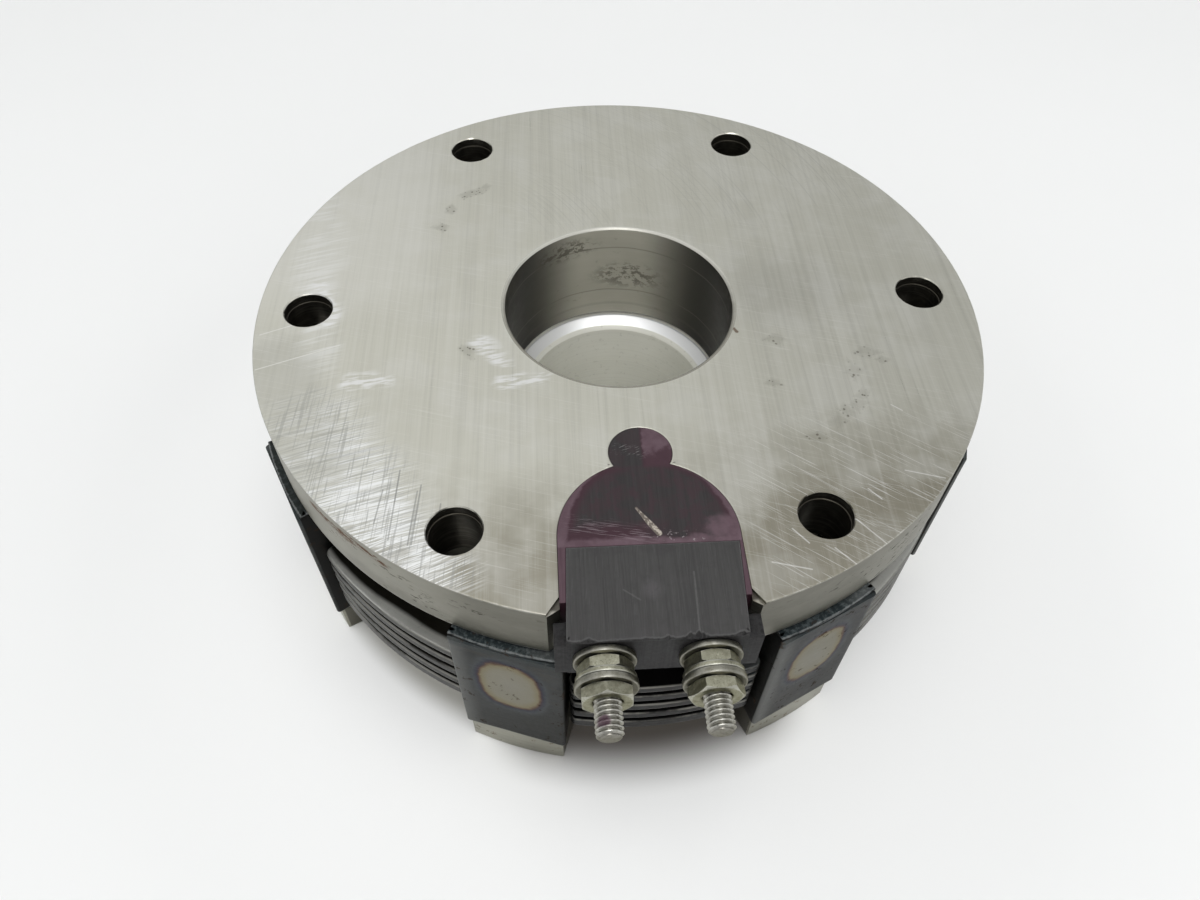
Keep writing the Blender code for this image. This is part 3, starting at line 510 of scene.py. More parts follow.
def oxide_mat():
    """Fingers, read in each finger's own frame: x is the outward normal, y runs across the finger and z up."""
    g = Mat("oxide_steel", metallic=0.85, specular=0.3, local="loc", tint=(0.75, 0.75, 0.75))
    x, y, z = g.x, g.y, g.z
    seed = g.attr("seed")
    P = g.vmath('ADD', g.P, g.vec(0.0, seed * 37.0, seed * 11.0))
    n1 = g.noise(P, 0.14, 3.0, 0.6)
    n2 = g.noise(P, 1.3, 3.0, 0.65)
    n3 = g.noise(g.vmath('MULTIPLY', P, (0.3, 0.3, 1.0)), 1.0, 2.0, 0.6)
    roll = g.noise(g.vec(y * 0.07, z * 2.6, seed * 9.0), 1.0, 2.0)
    outer = g.smooth(x, 64.2, 64.9)
    up = g.smooth(z, 39.72, 39.86)
    c = g.mix(g.smooth(n1, 0.30, 0.70), (0.0115, 0.0132, 0.0140), (0.047, 0.0495, 0.0490))
    c = g.mix(g.smooth(n3, 0.45, 0.65) * 0.45, c, (0.048, 0.044, 0.036))
    c = g.mix(g.smooth(z + y * -0.5 + (n1 - 0.5) * 14.0, 25.0, 10.0) * 0.78, c, (0.0120, 0.0128, 0.0110))
    c = g.mix(g.smooth(y, -5.2, -9.0) * 0.60, c, (0.170, 0.174, 0.166))
    c = g.mix((roll - 0.45) * 0.20, c, (0.105, 0.108, 0.104))
    c = g.mix(g.smooth(z + (n1 - 0.5) * 1.6, 36.9, 38.2) * 0.55, c, (0.030, 0.038, 0.040))
    c = g.mix(g.smooth(n2, 0.58, 0.72) * 0.24, c, (0.15, 0.152, 0.148))
    # oval heat tint left by the weld behind
    wy = (y - 0.3 + (n1 - 0.5) * 1.0 + (seed - 0.5) * 0.8) / 5.4
    wz = (z - 27.4 + (n3 - 0.5) * 1.4 + (seed - 0.5) * 0.8) / 8.1
    e = g.math('POWER', g.math('POWER', g.absf(wy), 2.5) + g.math('POWER', g.absf(wz), 2.5), 0.4) + (g.noise(P, 0.5, 2.0) - 0.5) * 0.10
    tint = g.ramp(e * 0.5, [(0.00, (0.238, 0.226, 0.184)), (0.34, (0.236, 0.222, 0.168)), (0.435, (0.220, 0.190, 0.110)),
                            (0.468, (0.110, 0.062, 0.034)), (0.492, (0.034, 0.019, 0.030)), (0.520, (0.026, 0.029, 0.044)),
                            (0.57, (0.050, 0.057, 0.061)), (0.66, (0.030, 0.033, 0.034))])
    c = g.mix(g.smooth(e, 1.36, 1.08) * outer * 0.92, c, tint)
    c = g.mix(g.smooth(n2, 0.52, 0.66) * g.smooth(e, 0.95, 0.7) * outer * 0.25, c, (0.27, 0.255, 0.225))
    # dark blue, speckled top and worn upright edges
    spk = g.mix(g.smooth(n2, 0.42, 0.70), (0.030, 0.040, 0.044), (0.110, 0.130, 0.136))
    spk = g.mix(g.smooth(y + (n1 - 0.5) * 8.0, 1.0, 7.0) * g.smooth(seed, 0.97, 0.94) * 0.55, spk, g.mix(n2, (0.06, 0.07, 0.07), (0.30, 0.31, 0.31)))
    spk = g.mix(g.smooth(seed, 0.95, 0.98) * 0.72, spk, (0.020, 0.021, 0.0175))
    c = g.mix(up, c, spk)
    # painted shade: the finger's side faces are painted near black
    side = g.smooth(x, 64.92, 64.72) * g.smooth(g.absf(y), 7.9, 8.3) * (1.0 - up)
    c = g.mix(side * 0.93, c, (0.0060, 0.0056, 0.0050))
    c = g.mix(g.smooth(g.attr("edge") + (n2 - 0.5) * 1.1, 0.62, 1.0) * 0.45, c, (0.32, 0.33, 0.33))
    rust = g.smooth(g.noise(P, 0.42, 3.0, 0.7), 0.60, 0.68)
    c = g.mix(rust * 0.5, c, (0.058, 0.034, 0.019))
    rough = 0.42 + (n1 - 0.5) * 0.25 + rust * 0.25 + (n2 - 0.5) * 0.16
    return g.done(c, rough, n2 * 0.5 + roll * 0.4, 0.02, 0.5)


def machined_mat(name, dark, light, rust_amount, shaded_flanks=None):
    """Turned or milled steel with a little rust; concentric lines on faces square to the axis; optionally painted shade
    on the arm flanks between two radii.
    """
    g = Mat(name, metallic=1.0)
    x, y, z, r = g.x, g.y, g.z, g.r
    n1 = g.noise(g.P, 0.09, 4.0, 0.6)
    n2 = g.noise(g.P, 1.1, 4.0, 0.65)
    turn = g.noise(g.vec(r * 4.5, (x + y) * 0.012, z * 4.5), 1.0, 3.0)
    wide = g.noise(g.vec(r * 0.9, (x - y) * 0.008, z * 0.9), 1.0, 2.0)
    c = g.mix(n1, dark, light)
    c = g.mix(g.sat((turn - 0.5) * 1.1), c, tuple(min(1.0, v * 1.6) for v in light))
    c = g.mix(g.sat((0.5 - turn) * 1.0 + (0.5 - wide) * 0.8), c, tuple(v * 0.45 for v in dark))
    rust = g.smooth(g.noise(g.P, 0.45, 5.0, 0.72), 0.585, 0.68) * rust_amount
    c = g.mix(rust, c, (0.115, 0.058, 0.026))
    oil = g.smooth(g.noise(g.P, 0.05, 3.0), 0.45, 0.65)
    c = g.mix(oil * 0.25, c, tuple(v * 0.5 for v in dark))
    edge = g.attr("edge")
    c = g.mix(g.smooth(edge + (n2 - 0.5) * 0.8, 0.5, 1.0) * 0.5, c, (0.72, 0.71, 0.66))
    c = g.mix(g.smooth(edge + (n2 - 0.5) * 0.4, -0.4, -0.9) * 0.6, c, (0.040, 0.034, 0.026))
    # painted shade: the spider's arms between the two radii are painted dark
    if shaded_flanks:
        c = g.mix(g.smooth(r, shaded_flanks[1], shaded_flanks[1] - 0.25) * g.smooth(r, shaded_flanks[0], shaded_flanks[0] + 0.3) * 0.75, c, (0.050, 0.046, 0.036))
    rough = 0.38 + (turn - 0.5) * 0.22 + rust * 0.3 + (n2 - 0.5) * 0.10
    return g.done(c, rough, turn * 0.8 + n2 * 0.3 + rust * 0.9, 0.014, 0.6)


def hub_mat():
    """Bright turned hub, light smears of oil, and a painted highlight on the bore ledge."""
    g = Mat("hub_steel", metallic=0.15)
    x, y, r, z = g.x, g.y, g.r, g.z
    n1 = g.noise(g.P, 0.10, 3.0, 0.6)
    n2 = g.noise(g.P, 0.9, 2.0, 0.65)
    turn = g.noise(g.vec(r * 3.0, (x + y) * 0.012, z * 3.0), 1.0, 2.0)
    c = g.mix(n1, (0.78, 0.775, 0.690), (0.90, 0.895, 0.815))
    c = g.mix(g.sat((turn - 0.5) * 0.6), c, (0.90, 0.895, 0.86))
    c = g.mix(g.sat((0.5 - turn) * 0.5), c, (0.52, 0.515, 0.46))
    c = g.mix(g.smooth(n2, 0.60, 0.70) * 0.20, c, (0.42, 0.41, 0.35))
    ledge = g.smooth(r, 18.05, 18.25) * g.smooth(r, 20.7, 20.4) * g.smooth(z, 12.6, 12.8)
    # painted highlight: the ledge is painted brighter near x = 3 mm, fading to the sides
    ledge_highlight = g.smooth(g.absf(x - 3.0), 14.0, 3.0)
    c = g.mix(ledge, c, g.mix(ledge_highlight, (0.74, 0.745, 0.74), (0.97, 0.975, 0.985)))
    edge = g.attr("edge")
    c = g.mix(g.smooth(edge + (n2 - 0.5) * 0.4, -0.4, -0.9) * 0.6, c, (0.060, 0.052, 0.040))
    rough = 0.42 + ((turn - 0.5) * 0.14 + (n2 - 0.5) * 0.12) * (1.0 - ledge) - ledge * 0.10
    return g.done(c, rough, (turn * 0.5 + n2 * 0.2) * (1.0 - ledge), 0.008, 0.4, 0.15 + ledge * 0.55)


def disc_mat(name, dark, light, burr, face=None, half=0.9):
    """Stamped discs: dull scaled edge, paler lapped faces, thin worn arrises; painted shade and painted light on the
    top disc's face, painted shade on the edges at the front.
    """
    g = Mat(name, metallic=0.92, specular=0.3)
    x, y, z, r = g.x, g.y, g.z, g.r
    seed = g.attr("seed")
    P = g.vmath('ADD', g.P, g.vec(seed * 23.0, seed * 7.0, seed * 31.0))
    n1 = g.noise(P, 0.07, 3.0, 0.6)
    n2 = g.noise(P, 1.1, 3.0, 0.65)
    around = g.noise(g.vec(x * 0.09, y * 0.09, z * 1.5 + seed * 19.0), 1.0, 2.0)
    lap = g.noise(g.vec(r * 3.6, x * 0.05, y * 0.05), 1.0, 2.0)
    c = g.mix(n1, dark, light)
    c = g.mix(g.smooth(n2, 0.55, 0.72) * 0.25, c, tuple(min(1.0, v * 1.6) for v in light))
    c = g.mix(g.smooth(around, 0.48, 0.66) * 0.38, c, tuple(v * 0.40 for v in dark))
    c = g.mix(g.smooth(g.noise(P, 0.16, 2.0, 0.6), 0.55, 0.68) * 0.35, c, (0.050, 0.036, 0.024))
    if face:
        flat = g.smooth(g.absf(z), half - 0.07, half - 0.01)
        cf = g.mix(n1, tuple(v * 0.8 for v in face), face)
        cf = g.mix(g.sat((lap - 0.5) * 0.9), cf, tuple(v * 0.5 for v in face))
        cf = g.mix(g.smooth(n2, 0.56, 0.70) * 0.3, cf, tuple(v * 0.45 for v in face))
        # radius for the painted flange shade below; the shade reaches up to 0.9 mm further out at the left
        rim = r + (n1 - 0.5) * 1.0 - g.smooth(x, -36.0, -52.0) * 0.9
        # painted light: a pale bluish patch on the top disc's face to the right of the terminal block
        cf = g.mix(g.smooth(x, 13.5, 15.0) * g.smooth(y, -50.0, -56.0) * 0.7, cf, (0.34, 0.375, 0.385))
        # painted shade: the top disc's face is painted near black inward of about 62 mm, where the flange above shades
        # it
        cf = g.mix(g.smooth(rim, 62.5, 61.6), cf, (0.020, 0.018, 0.014))
        # painted shadow: the top disc's face under the terminal block is painted black
        cf = g.mix(g.smooth(y, -50.0, -55.0) * g.smooth(g.absf(x - 0.5), 15.2, 13.8), cf, (0.0045, 0.0042, 0.0042))
        c = g.mix(flat, c, cf)
    edge = g.attr("edge")
    # painted shade: the disc edges at the front, under the terminals, are painted near black
    front = g.smooth(y, -50.0, -57.0) * g.smooth(g.absf(x - 2.0), 22.0, 15.0)
    c = g.mix(front * 0.78, c, (0.0095, 0.0092, 0.0096))
    lit = g.smooth(edge + (n1 - 0.5) * 0.6 + (n2 - 0.5) * 0.35, 0.36, 0.84) * (1.0 - front * 0.15)
    c = g.mix(lit * burr, c, (0.235, 0.230, 0.208))
    c = g.mix(g.smooth(edge, -0.3, -0.9) * 0.7, c, (0.02, 0.018, 0.015))
    rough = 0.46 + (n2 - 0.5) * 0.25 + (n1 - 0.5) * 0.15 - lit * 0.08
    return g.done(c, rough, n2 * 0.5 + lap * 0.3, 0.02, 0.5)


def zinc_mat(name="zinc_plate", dark=(0.215, 0.210, 0.152), light=(0.455, 0.448, 0.352), paint=None, lip=0.42, rim=None, tip=None):
    g = Mat(name, metallic=1.0, tint=(0.42, 0.41, 0.36))
    seed = g.attr("seed")
    P = g.vmath('ADD', g.P, g.vec(seed * 13.0, seed * 29.0, seed * 5.0))
    n1 = g.noise(P, 0.55, 3.0, 0.6)
    n2 = g.noise(P, 3.6, 2.0, 0.65)
    c = g.mix(n1, dark, light)
    # painted light: the washer's outer rim is painted lighter than its faces
    if rim:
        c = g.mix(g.smooth(g.r, rim - 0.30, rim - 0.08) * 0.9, c, g.mix(n1, (0.200, 0.194, 0.160), (0.37, 0.36, 0.31)))
    c = g.mix(g.smooth(n2, 0.56, 0.68) * 0.40, c, tuple(min(1.0, v * 1.4) for v in light))
    c = g.mix(g.smooth(n2, 0.44, 0.32) * 0.50, c, (0.100, 0.092, 0.060))
    grime = g.smooth(g.noise(P, 0.9, 4.0, 0.7), 0.50, 0.64)
    c = g.mix(grime * 0.40, c, (0.120, 0.108, 0.070))
    edge = g.attr("edge")
    # lighter convex edges and thread crests: partly worn plating, partly painted highlight
    c = g.mix(g.smooth(edge + (n2 - 0.5) * 0.9, 0.4, 0.95) * lip, c, (0.66, 0.66, 0.62))
    c = g.mix(g.smooth(edge, -0.2, -0.9) * (0.48 if tip else 0.75), c, (0.038, 0.034, 0.024))
    if tip:
        c = g.mix(g.smooth(g.z, tip - 0.5, tip - 0.15) * 0.62, c, (0.185, 0.175, 0.155))
    metallic = None
    rough = 0.36 + (n1 - 0.5) * 0.25 + grime * 0.16
    if paint:
        spot = g.blob(-0.7, paint[0], 1.25, 1.1, 0.55, 1.0, g.x + (n1 - 0.5) * 0.9, g.z + (n2 - 0.5) * 0.6) * g.smooth(g.y, -0.2, 0.5)
        c = g.mix(spot * 0.85, c, (0.078, 0.030, 0.056))
        metallic = 1.0 - spot * 0.7
    return g.done(c, rough, n2 * 0.4 + n1 * 0.3, 0.02, 0.45, metallic)


def blacked_mat():
    g = Mat("blackened_steel", metallic=0.8)
    n1 = g.noise(g.P, 0.12, 4.0, 0.6)
    n2 = g.noise(g.P, 1.6, 4.0, 0.65)
    turn = g.noise(g.vec(g.r * 4.0, g.x * 0.02, g.z * 4.0), 1.0, 3.0)
    c = g.mix(n1, (0.032, 0.033, 0.035), (0.085, 0.086, 0.088))
    c = g.mix(g.sat((turn - 0.5) * 0.8), c, (0.16, 0.16, 0.16))
    c = g.mix(g.smooth(n2, 0.60, 0.70) * 0.4, c, (0.14, 0.10, 0.07))
    edge = g.attr("edge")
    c = g.mix(g.smooth(edge + (n2 - 0.5) * 0.8, 0.5, 1.0) * 0.6, c, (0.40, 0.395, 0.37))
    return g.done(c, 0.42 + (n2 - 0.5) * 0.2, turn * 0.7 + n2 * 0.4, 0.016, 0.6)


def potting_mat():
    g = Mat("potting_resin", specular=0.4)
    n1 = g.noise(g.P, 0.2, 4.0, 0.6)
    n2 = g.noise(g.P, 1.4, 3.0, 0.6)
    turn = g.noise(g.vec(g.r * 3.0, g.x * 0.02, g.y * 0.02), 1.0, 3.0)
    c = g.mix(n1, (0.050, 0.018, 0.028), (0.095, 0.050, 0.064))
    c = g.mix((turn - 0.4) * 0.5, c, (0.115, 0.085, 0.095))
    return g.done(c, 0.46 + (n2 - 0.5) * 0.2, n2 * 0.4 + turn * 0.4, 0.03, 0.5)


def copper_mat():
    g = Mat("enamelled_copper", metallic=0.9, coat=0.6, coat_rough=0.18)
    n1 = g.noise(g.P, 0.6, 3.0, 0.6)
    wires = g.math('SINE', g.z * 9.0 + n1 * 1.5)
    c = g.mix(n1, (0.36, 0.12, 0.045), (0.58, 0.24, 0.10))
    c = g.mix(g.smooth(wires, -0.2, -0.9) * 0.7, c, (0.09, 0.028, 0.012))
    return g.done(c, 0.34 + (n1 - 0.5) * 0.15, wires, 0.05, 0.7)


def bobbin_mat():
    g = Mat("bobbin_plastic", specular=0.4)
    n1 = g.noise(g.P, 0.3, 4.0, 0.6)
    n2 = g.noise(g.P, 2.5, 3.0, 0.6)
    c = g.mix(n1, (0.40, 0.35, 0.25), (0.58, 0.53, 0.41))
    c = g.mix(g.smooth(n2, 0.6, 0.7) * 0.3, c, (0.30, 0.25, 0.17))
    return g.done(c, 0.55 + (n2 - 0.5) * 0.2, n2, 0.02, 0.5)


M_GROUND = steel_top()
M_SIDE = steel_side()
M_BORE = steel_bore()
M_HOLE = steel_hole()
M_RESIN = resin_mat()
M_BLOCK = block_mat()
M_OXIDE = oxide_mat()
M_SPIDER = machined_mat("machined_steel", (0.225, 0.221, 0.180), (0.375, 0.368, 0.305), 0.75, (SPIDER_R1 + 0.1, ARM_R1 - 0.35))
M_ARMATURE = machined_mat("armature_steel", (0.22, 0.215, 0.20), (0.36, 0.355, 0.335), 0.35)
M_HUB = hub_mat()
M_DISC = disc_mat("disc_steel", (0.036, 0.0355, 0.032), (0.080, 0.079, 0.073), 0.70, (0.66, 0.66, 0.62), OUTER_T / 2)
# painted shade: the faces of the lower discs are painted near black, as the shade between the discs; only the top disc
# keeps a pale face
M_DISC_LOW = disc_mat("disc_steel_low", (0.031, 0.0305, 0.028), (0.068, 0.067, 0.062), 0.70, (0.022, 0.021, 0.019), OUTER_T / 2)
M_DISC_END = disc_mat("disc_steel_end", (0.037, 0.0365, 0.034), (0.082, 0.081, 0.076), 0.75, (0.030, 0.029, 0.026), END_T / 2)
M_INNER = disc_mat("inner_disc_steel", (0.024, 0.022, 0.019), (0.048, 0.045, 0.040), 0.10)
M_ZINC = zinc_mat()
# washers: a darker copy of the zinc, the faces painted as in shade and the rims painted lighter as lit
M_WASHER = zinc_mat("zinc_washer", (0.110, 0.107, 0.092), (0.215, 0.211, 0.188), lip=0.12, rim=4.5)
M_STUD_L = zinc_mat("zinc_stud_left", (0.33, 0.322, 0.290), (0.60, 0.592, 0.55), paint=(12.05,), lip=0.30, tip=13.92)
M_STUD_R = zinc_mat("zinc_stud_right", (0.33, 0.322, 0.290), (0.60, 0.592, 0.55), lip=0.30, tip=13.92)
M_BLACK = blacked_mat()
M_POT = potting_mat()
M_COPPER = copper_mat()
M_BOBBIN = bobbin_mat()


# ------------------------------------------------------------------ mesh helpers
def arc(r, a0, a1, n, cx=0.0, cy=0.0):
    """n + 1 points from azimuth a0 to a1, degrees."""
    return [(cx + r * math.cos(math.radians(a0 + (a1 - a0) * k / n)), cy + r * math.sin(math.radians(a0 + (a1 - a0) * k / n)))
            for k in range(n + 1)]


def circle(r, n, cx=0.0, cy=0.0, hole=False, phase=0.0):
    p = [(cx + r * math.cos(phase + 2 * math.pi * k / n), cy + r * math.sin(phase + 2 * math.pi * k / n)) for k in range(n)]
    return p[::-1] if hole else p


def offset(pts, d):
    """Moves an outline into the material on its left by d (a number or one per point), with mitred corners."""
    a = np.array(pts, float)
    e = np.roll(a, -1, 0) - a
    e /= np.linalg.norm(e, axis=1)[:, None]
    n = np.c_[-e[:, 1], e[:, 0]]
    p = np.roll(n, 1, 0)
    m = (n + p) / np.maximum(1 + (n * p).sum(1), 0.25)[:, None]
    return a + m * np.reshape(d, (-1, 1))


def rounded(corners, r=0.2, seg=3, spread=0.6, closed=True, convex=1):
    """Profile of (u, z) corners with rounded corners, as (u, z, edge): edge is 1 on convex corners, -1 in hollow ones."""
    out, n = [], len(corners)
    for i in range(n):
        p = Vector(corners[i][:2])
        rr = corners[i][2] if len(corners[i]) > 2 else r
        if rr <= 0 or (not closed and i in (0, n - 1)):
            out.append((p.x, p.y, 0.0))
            continue
        a, b = Vector(corners[i - 1][:2]) - p, Vector(corners[(i + 1) % n][:2]) - p
        la, lb = a.length, b.length
        a.normalize()
        b.normalize()
        half = math.acos(max(-1, min(1, a.dot(b)))) / 2
        d = min(rr / math.tan(half), la * 0.4, lb * 0.4)
        rr = d * math.tan(half)
        cross = (-a.x) * b.y - (-a.y) * b.x
        sign = 1.0 if cross * convex > 0 else -1.0
        c = p + (a + b).normalized() * (rr / math.sin(half))
        s, e = p + a * d - c, p + b * d - c
        a0 = math.atan2(s.y, s.x)
        da = (math.atan2(e.y, e.x) - a0 + math.pi) % (2 * math.pi) - math.pi
        if la * 0.5 > d + 0.12:
            q = p + a * min(d + spread, la * 0.5)
            out.append((q.x, q.y, 0.0))
        for k in range(seg + 1):
            out.append((c.x + rr * math.cos(a0 + da * k / seg), c.y + rr * math.sin(a0 + da * k / seg), sign))
        if lb * 0.5 > d + 0.12:
            q = p + b * min(d + spread, lb * 0.5)
            out.append((q.x, q.y, 0.0))
    clean = []
    for q in out:
        if not clean or math.hypot(q[0] - clean[-1][0], q[1] - clean[-1][1]) > 1e-5:
            clean.append(q)
    if closed and math.hypot(clean[0][0] - clean[-1][0], clean[0][1] - clean[-1][1]) < 1e-5:
        clean.pop()
    return clean


def wall(pts, profile, jitter=0.0, rough_z=0.0, step=1):
    """Rings of one outline from a profile of (inset, z, edge)."""
    n = len(pts)
    wob = np.zeros(n)
    rag = np.ones(n)
    zed = np.zeros(n)
    if jitter or rough_z:
        raw = rng.rand(n)
        wob = (raw + np.roll(raw, 1) + np.roll(raw, 2)) / 3 - 0.5
        rag = rng.rand(n)
        rag = 0.45 + 0.55 * np.clip(sum(np.roll(rag, j) for j in range(9)) / 9 * 2.6 - 0.8, 0.0, 1.0)
        rz = rng.rand(n)
        zed = (rz + np.roll(rz, 1)) / 2 - 0.5
    out = []
    for u, z, e in profile:
        k = 1.0 if abs(e) > 0 else 0.4
        out.append((offset(pts, u + wob * jitter * k), z + zed * rough_z * (1.0 if abs(e) > 0 else 0.0), e * rag))
    return out


def slab_profile(z0, z1, r=0.2, strip=0.6, seg=3, r1=None):
    """Wall between two caps, with rounded arrises and a flat strip on each cap."""
    return rounded([(strip, z0), (0, z0, r), (0, z1, r if r1 is None else r1), (strip, z1)], r, seg, 0.5, closed=False, convex=-1)


def solid(loops):
    """Closed body from loops of rings (points, z, edge). The first rings bound the bottom cap, the last ones the top cap."""
    bm = bmesh.new()
    lay = bm.verts.layers.float.new("edge")
    ends = ([], [])
    for rings in loops:
        made = []
        for pts, z, e in rings:
            n = len(pts)
            zz, ee = np.broadcast_to(z, n), np.broadcast_to(e, n)
            row = []
            for k in range(n):
                v = bm.verts.new((pts[k][0], pts[k][1], zz[k]))
                v[lay] = ee[k]
                row.append(v)
            made.append(row)
        for a, b in zip(made, made[1:]):
            for k in range(len(a)):
                q = (k + 1) % len(a)
                bm.faces.new((a[k], a[q], b[q], b[k]))
        for row, end in ((made[0], ends[0]), (made[-1], ends[1])):
            for k in range(len(row)):
                end.append(bm.edges.get((row[k], row[(k + 1) % len(row)])))
    for end, nz in zip(ends, (-1, 1)):
        bmesh.ops.triangle_fill(bm, use_beauty=True, use_dissolve=False, edges=end, normal=(0, 0, nz))
    return bm


def lathe(profile, n, phase=0.0):
    """Body of revolution from a closed profile of (r, z, edge)."""
    bm = bmesh.new()
    lay = bm.verts.layers.float.new("edge")
    rings = []
    for r, z, e in profile:
        if r <= 1e-6:
            v = bm.verts.new((0, 0, z))
            v[lay] = e
            rings.append([v] * n)
            continue
        row = []
        for k in range(n):
            t = phase + 2 * math.pi * k / n
            v = bm.verts.new((r * math.cos(t), r * math.sin(t), z))
            v[lay] = e
            row.append(v)
        rings.append(row)
    for i in range(len(rings)):
        a, b = rings[i], rings[(i + 1) % len(rings)]
        if a[0] is a[1] and b[0] is b[1]:
            continue
        for k in range(n):
            q = [a[k], a[(k + 1) % n], b[(k + 1) % n], b[k]]
            bm.faces.new([v for j, v in enumerate(q) if v not in q[:j]])
    return bm


def to_object(name, bm, mat, angle=34.0, seed=0.0):
    bmesh.ops.recalc_face_normals(bm, faces=bm.faces)
    bmesh.ops.scale(bm, vec=(0.001, 0.001, 0.001), verts=bm.verts)
    me = bpy.data.meshes.new(name)
    bm.to_mesh(me)
    bm.free()
    ob = bpy.data.objects.new(name, me)
    bpy.context.scene.collection.objects.link(ob)
    dress(ob, mat, angle, seed)
    return ob


def dress(ob, mat, angle=34.0, seed=0.0):
    me = ob.data
    me.materials.clear()
    me.materials.append(mat)
    for p in me.polygons:
        p.material_index = 0
    me.shade_smooth()
    me.set_sharp_from_angle(angle=math.radians(angle))
    old = me.attributes.get("seed")
    if old:
        me.attributes.remove(old)
    at = me.attributes.new("seed", 'FLOAT', 'POINT')
    at.data.foreach_set("value", np.full(len(me.vertices), seed, np.float32))


def boolean(ob, others):
    """Applies exact booleans (operation, object) and returns the object with the new mesh."""
    for op, other in others:
        m = ob.modifiers.new("b", 'BOOLEAN')
        m.operation, m.solver, m.object = op, 'EXACT', other
    bpy.context.view_layer.update()
    me = bpy.data.meshes.new_from_object(ob.evaluated_get(bpy.context.evaluated_depsgraph_get()))
    ob.modifiers.clear()
    old = ob.data
    ob.data = me
    bpy.data.meshes.remove(old)
    for _, other in others:
        d = other.data
        bpy.data.objects.remove(other)
        bpy.data.meshes.remove(d)
    return ob


def turn(ob, deg):
    """Turns the mesh about the shaft axis, so that the object itself stays unturned."""
    ob.data.transform(Matrix.Rotation(math.radians(deg), 4, 'Z'))
    return ob


def place(ob, body, nodes, loc=(0, 0, 0), rot=(0, 0, 0)):
    """Puts a piece in its place, measured from the shaft axis in mm, and hands it to its body."""
    ob.location = (loc[0] * 0.001, AY + loc[1] * 0.001, loc[2] * 0.001)
    ob.rotation_euler = rot
    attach(ob, body)
    if nodes:
        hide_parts(*nodes)
    return ob


# ------------------------------------------------------------------ magnet body
def keyhole_path(inset):
    """Left side of the slot up and over both lobes and down its right side, with the material on the left."""
    R, r = SLOT_R - inset, LOBE_R - inset
    d = LOBE_CY - SLOT_CY
    along = (d * d + R * R - r * r) / (2 * d)
    half = math.sqrt(R * R - along * along)
    a_big = math.degrees(math.atan2(along, half))
    a_small = math.degrees(math.atan2(along - d, half))
    p = [(SLOT_X - R, y) for y in np.linspace(RESIN_STRIP_Y, SLOT_CY, 12)[:-1]]
    p += arc(R, 180, 180 - a_big, 24, SLOT_X, SLOT_CY)
    p += arc(r, 180 - a_small, a_small, 40, SLOT_X, LOBE_CY)[1:]
    p += arc(R, a_big, 0, 24, SLOT_X, SLOT_CY)[1:]
    p += [(SLOT_X + R, y) for y in np.linspace(SLOT_CY, RESIN_STRIP_Y, 12)[1:]]
    return p


def on_rim(p, d):
    """Where the line from p along d crosses the rim."""
    a, b, c = d[0] ** 2 + d[1] ** 2, 2 * (p[0] * d[0] + p[1] * d[1]), p[0] ** 2 + p[1] ** 2 - FLANGE_R ** 2
    t = (-b + math.sqrt(b * b - 4 * a * c)) / (2 * a)
    return (p[0] + d[0] * t, p[1] + d[1] * t)


dy = FLARE_Y1 - FLARE_Y0
rim_r = on_rim((SLOT_X + SLOT_R, FLARE_Y0), (FLARE_DX, dy))
rim_l = on_rim((SLOT_X - SLOT_R, FLARE_Y0), (-FLARE_DX, dy))
ang_r = math.degrees(math.atan2(rim_r[1], rim_r[0]))
ang_l = math.degrees(math.atan2(rim_l[1], rim_l[0])) + 360
outline = arc(FLANGE_R, ang_r, ang_l, 400)
outline += [((rim_l[0] + SLOT_X - SLOT_R) / 2, (rim_l[1] + FLARE_Y0) / 2), (SLOT_X - SLOT_R, FLARE_Y0)]
outline += keyhole_path(0.0)
outline += [(SLOT_X + SLOT_R, FLARE_Y0), ((rim_r[0] + SLOT_X + SLOT_R) / 2, (rim_r[1] + FLARE_Y0) / 2)]
N_BORE = 256
wear = np.array([0.75 if math.hypot(px, py) > FLANGE_R - 0.1 else 0.1 for px, py in outline])
loops = [[(p, z, e * wear) for p, z, e in wall(outline, slab_profile(FLANGE_Z, TOP, 0.20, 0.7, 3, 0.16), 0.0)]]
loops.append([(circle(BORE_R + u, N_BORE, hole=True), z, e * 0.3) for u, z, e in
              rounded([(0.7, FLANGE_Z), (0, FLANGE_Z, 0), (0, TOP - 0.32, 0.05), (0.32, TOP, 0.05), (1.0, TOP)], 0.1, 2, 0.5, False, -1)])
for k in range(6):
    t = 2 * math.pi * k / 6
    cx, cy = HOLE_PCD / 2 * math.cos(t), HOLE_PCD / 2 * math.sin(t)
    n_h = 72
    lip = 0.10 + 0.10 * rng.rand(n_h)
    lip = (lip + np.roll(lip, 1) + np.roll(lip, 2)) / 3
    rings = []
    for u, z, e in rounded([(0.6, FLANGE_Z), (0, FLANGE_Z, 0.2), (0, HOLE_CB_Z, 0.04), (HOLE_CB_R - HOLE_R, HOLE_CB_Z + 0.05, 0.03),
                            (HOLE_CB_R - HOLE_R, TOP - 0.2, 0), (HOLE_CB_R - HOLE_R, TOP, 0.0), (0.9, TOP)], 0.1, 2, 0.4, False, -1):
        if abs(z - TOP) < 1e-6 and u < 0.2:
            rings.append((offset(circle(HOLE_R, n_h, cx, cy, True), u + lip), z, 0.3))
        else:
            rings.append((offset(circle(HOLE_R, n_h, cx, cy, True), u), z, e))
    loops.append(rings)
flange = to_object("magnet_body_visual", solid(loops), M_GROUND)
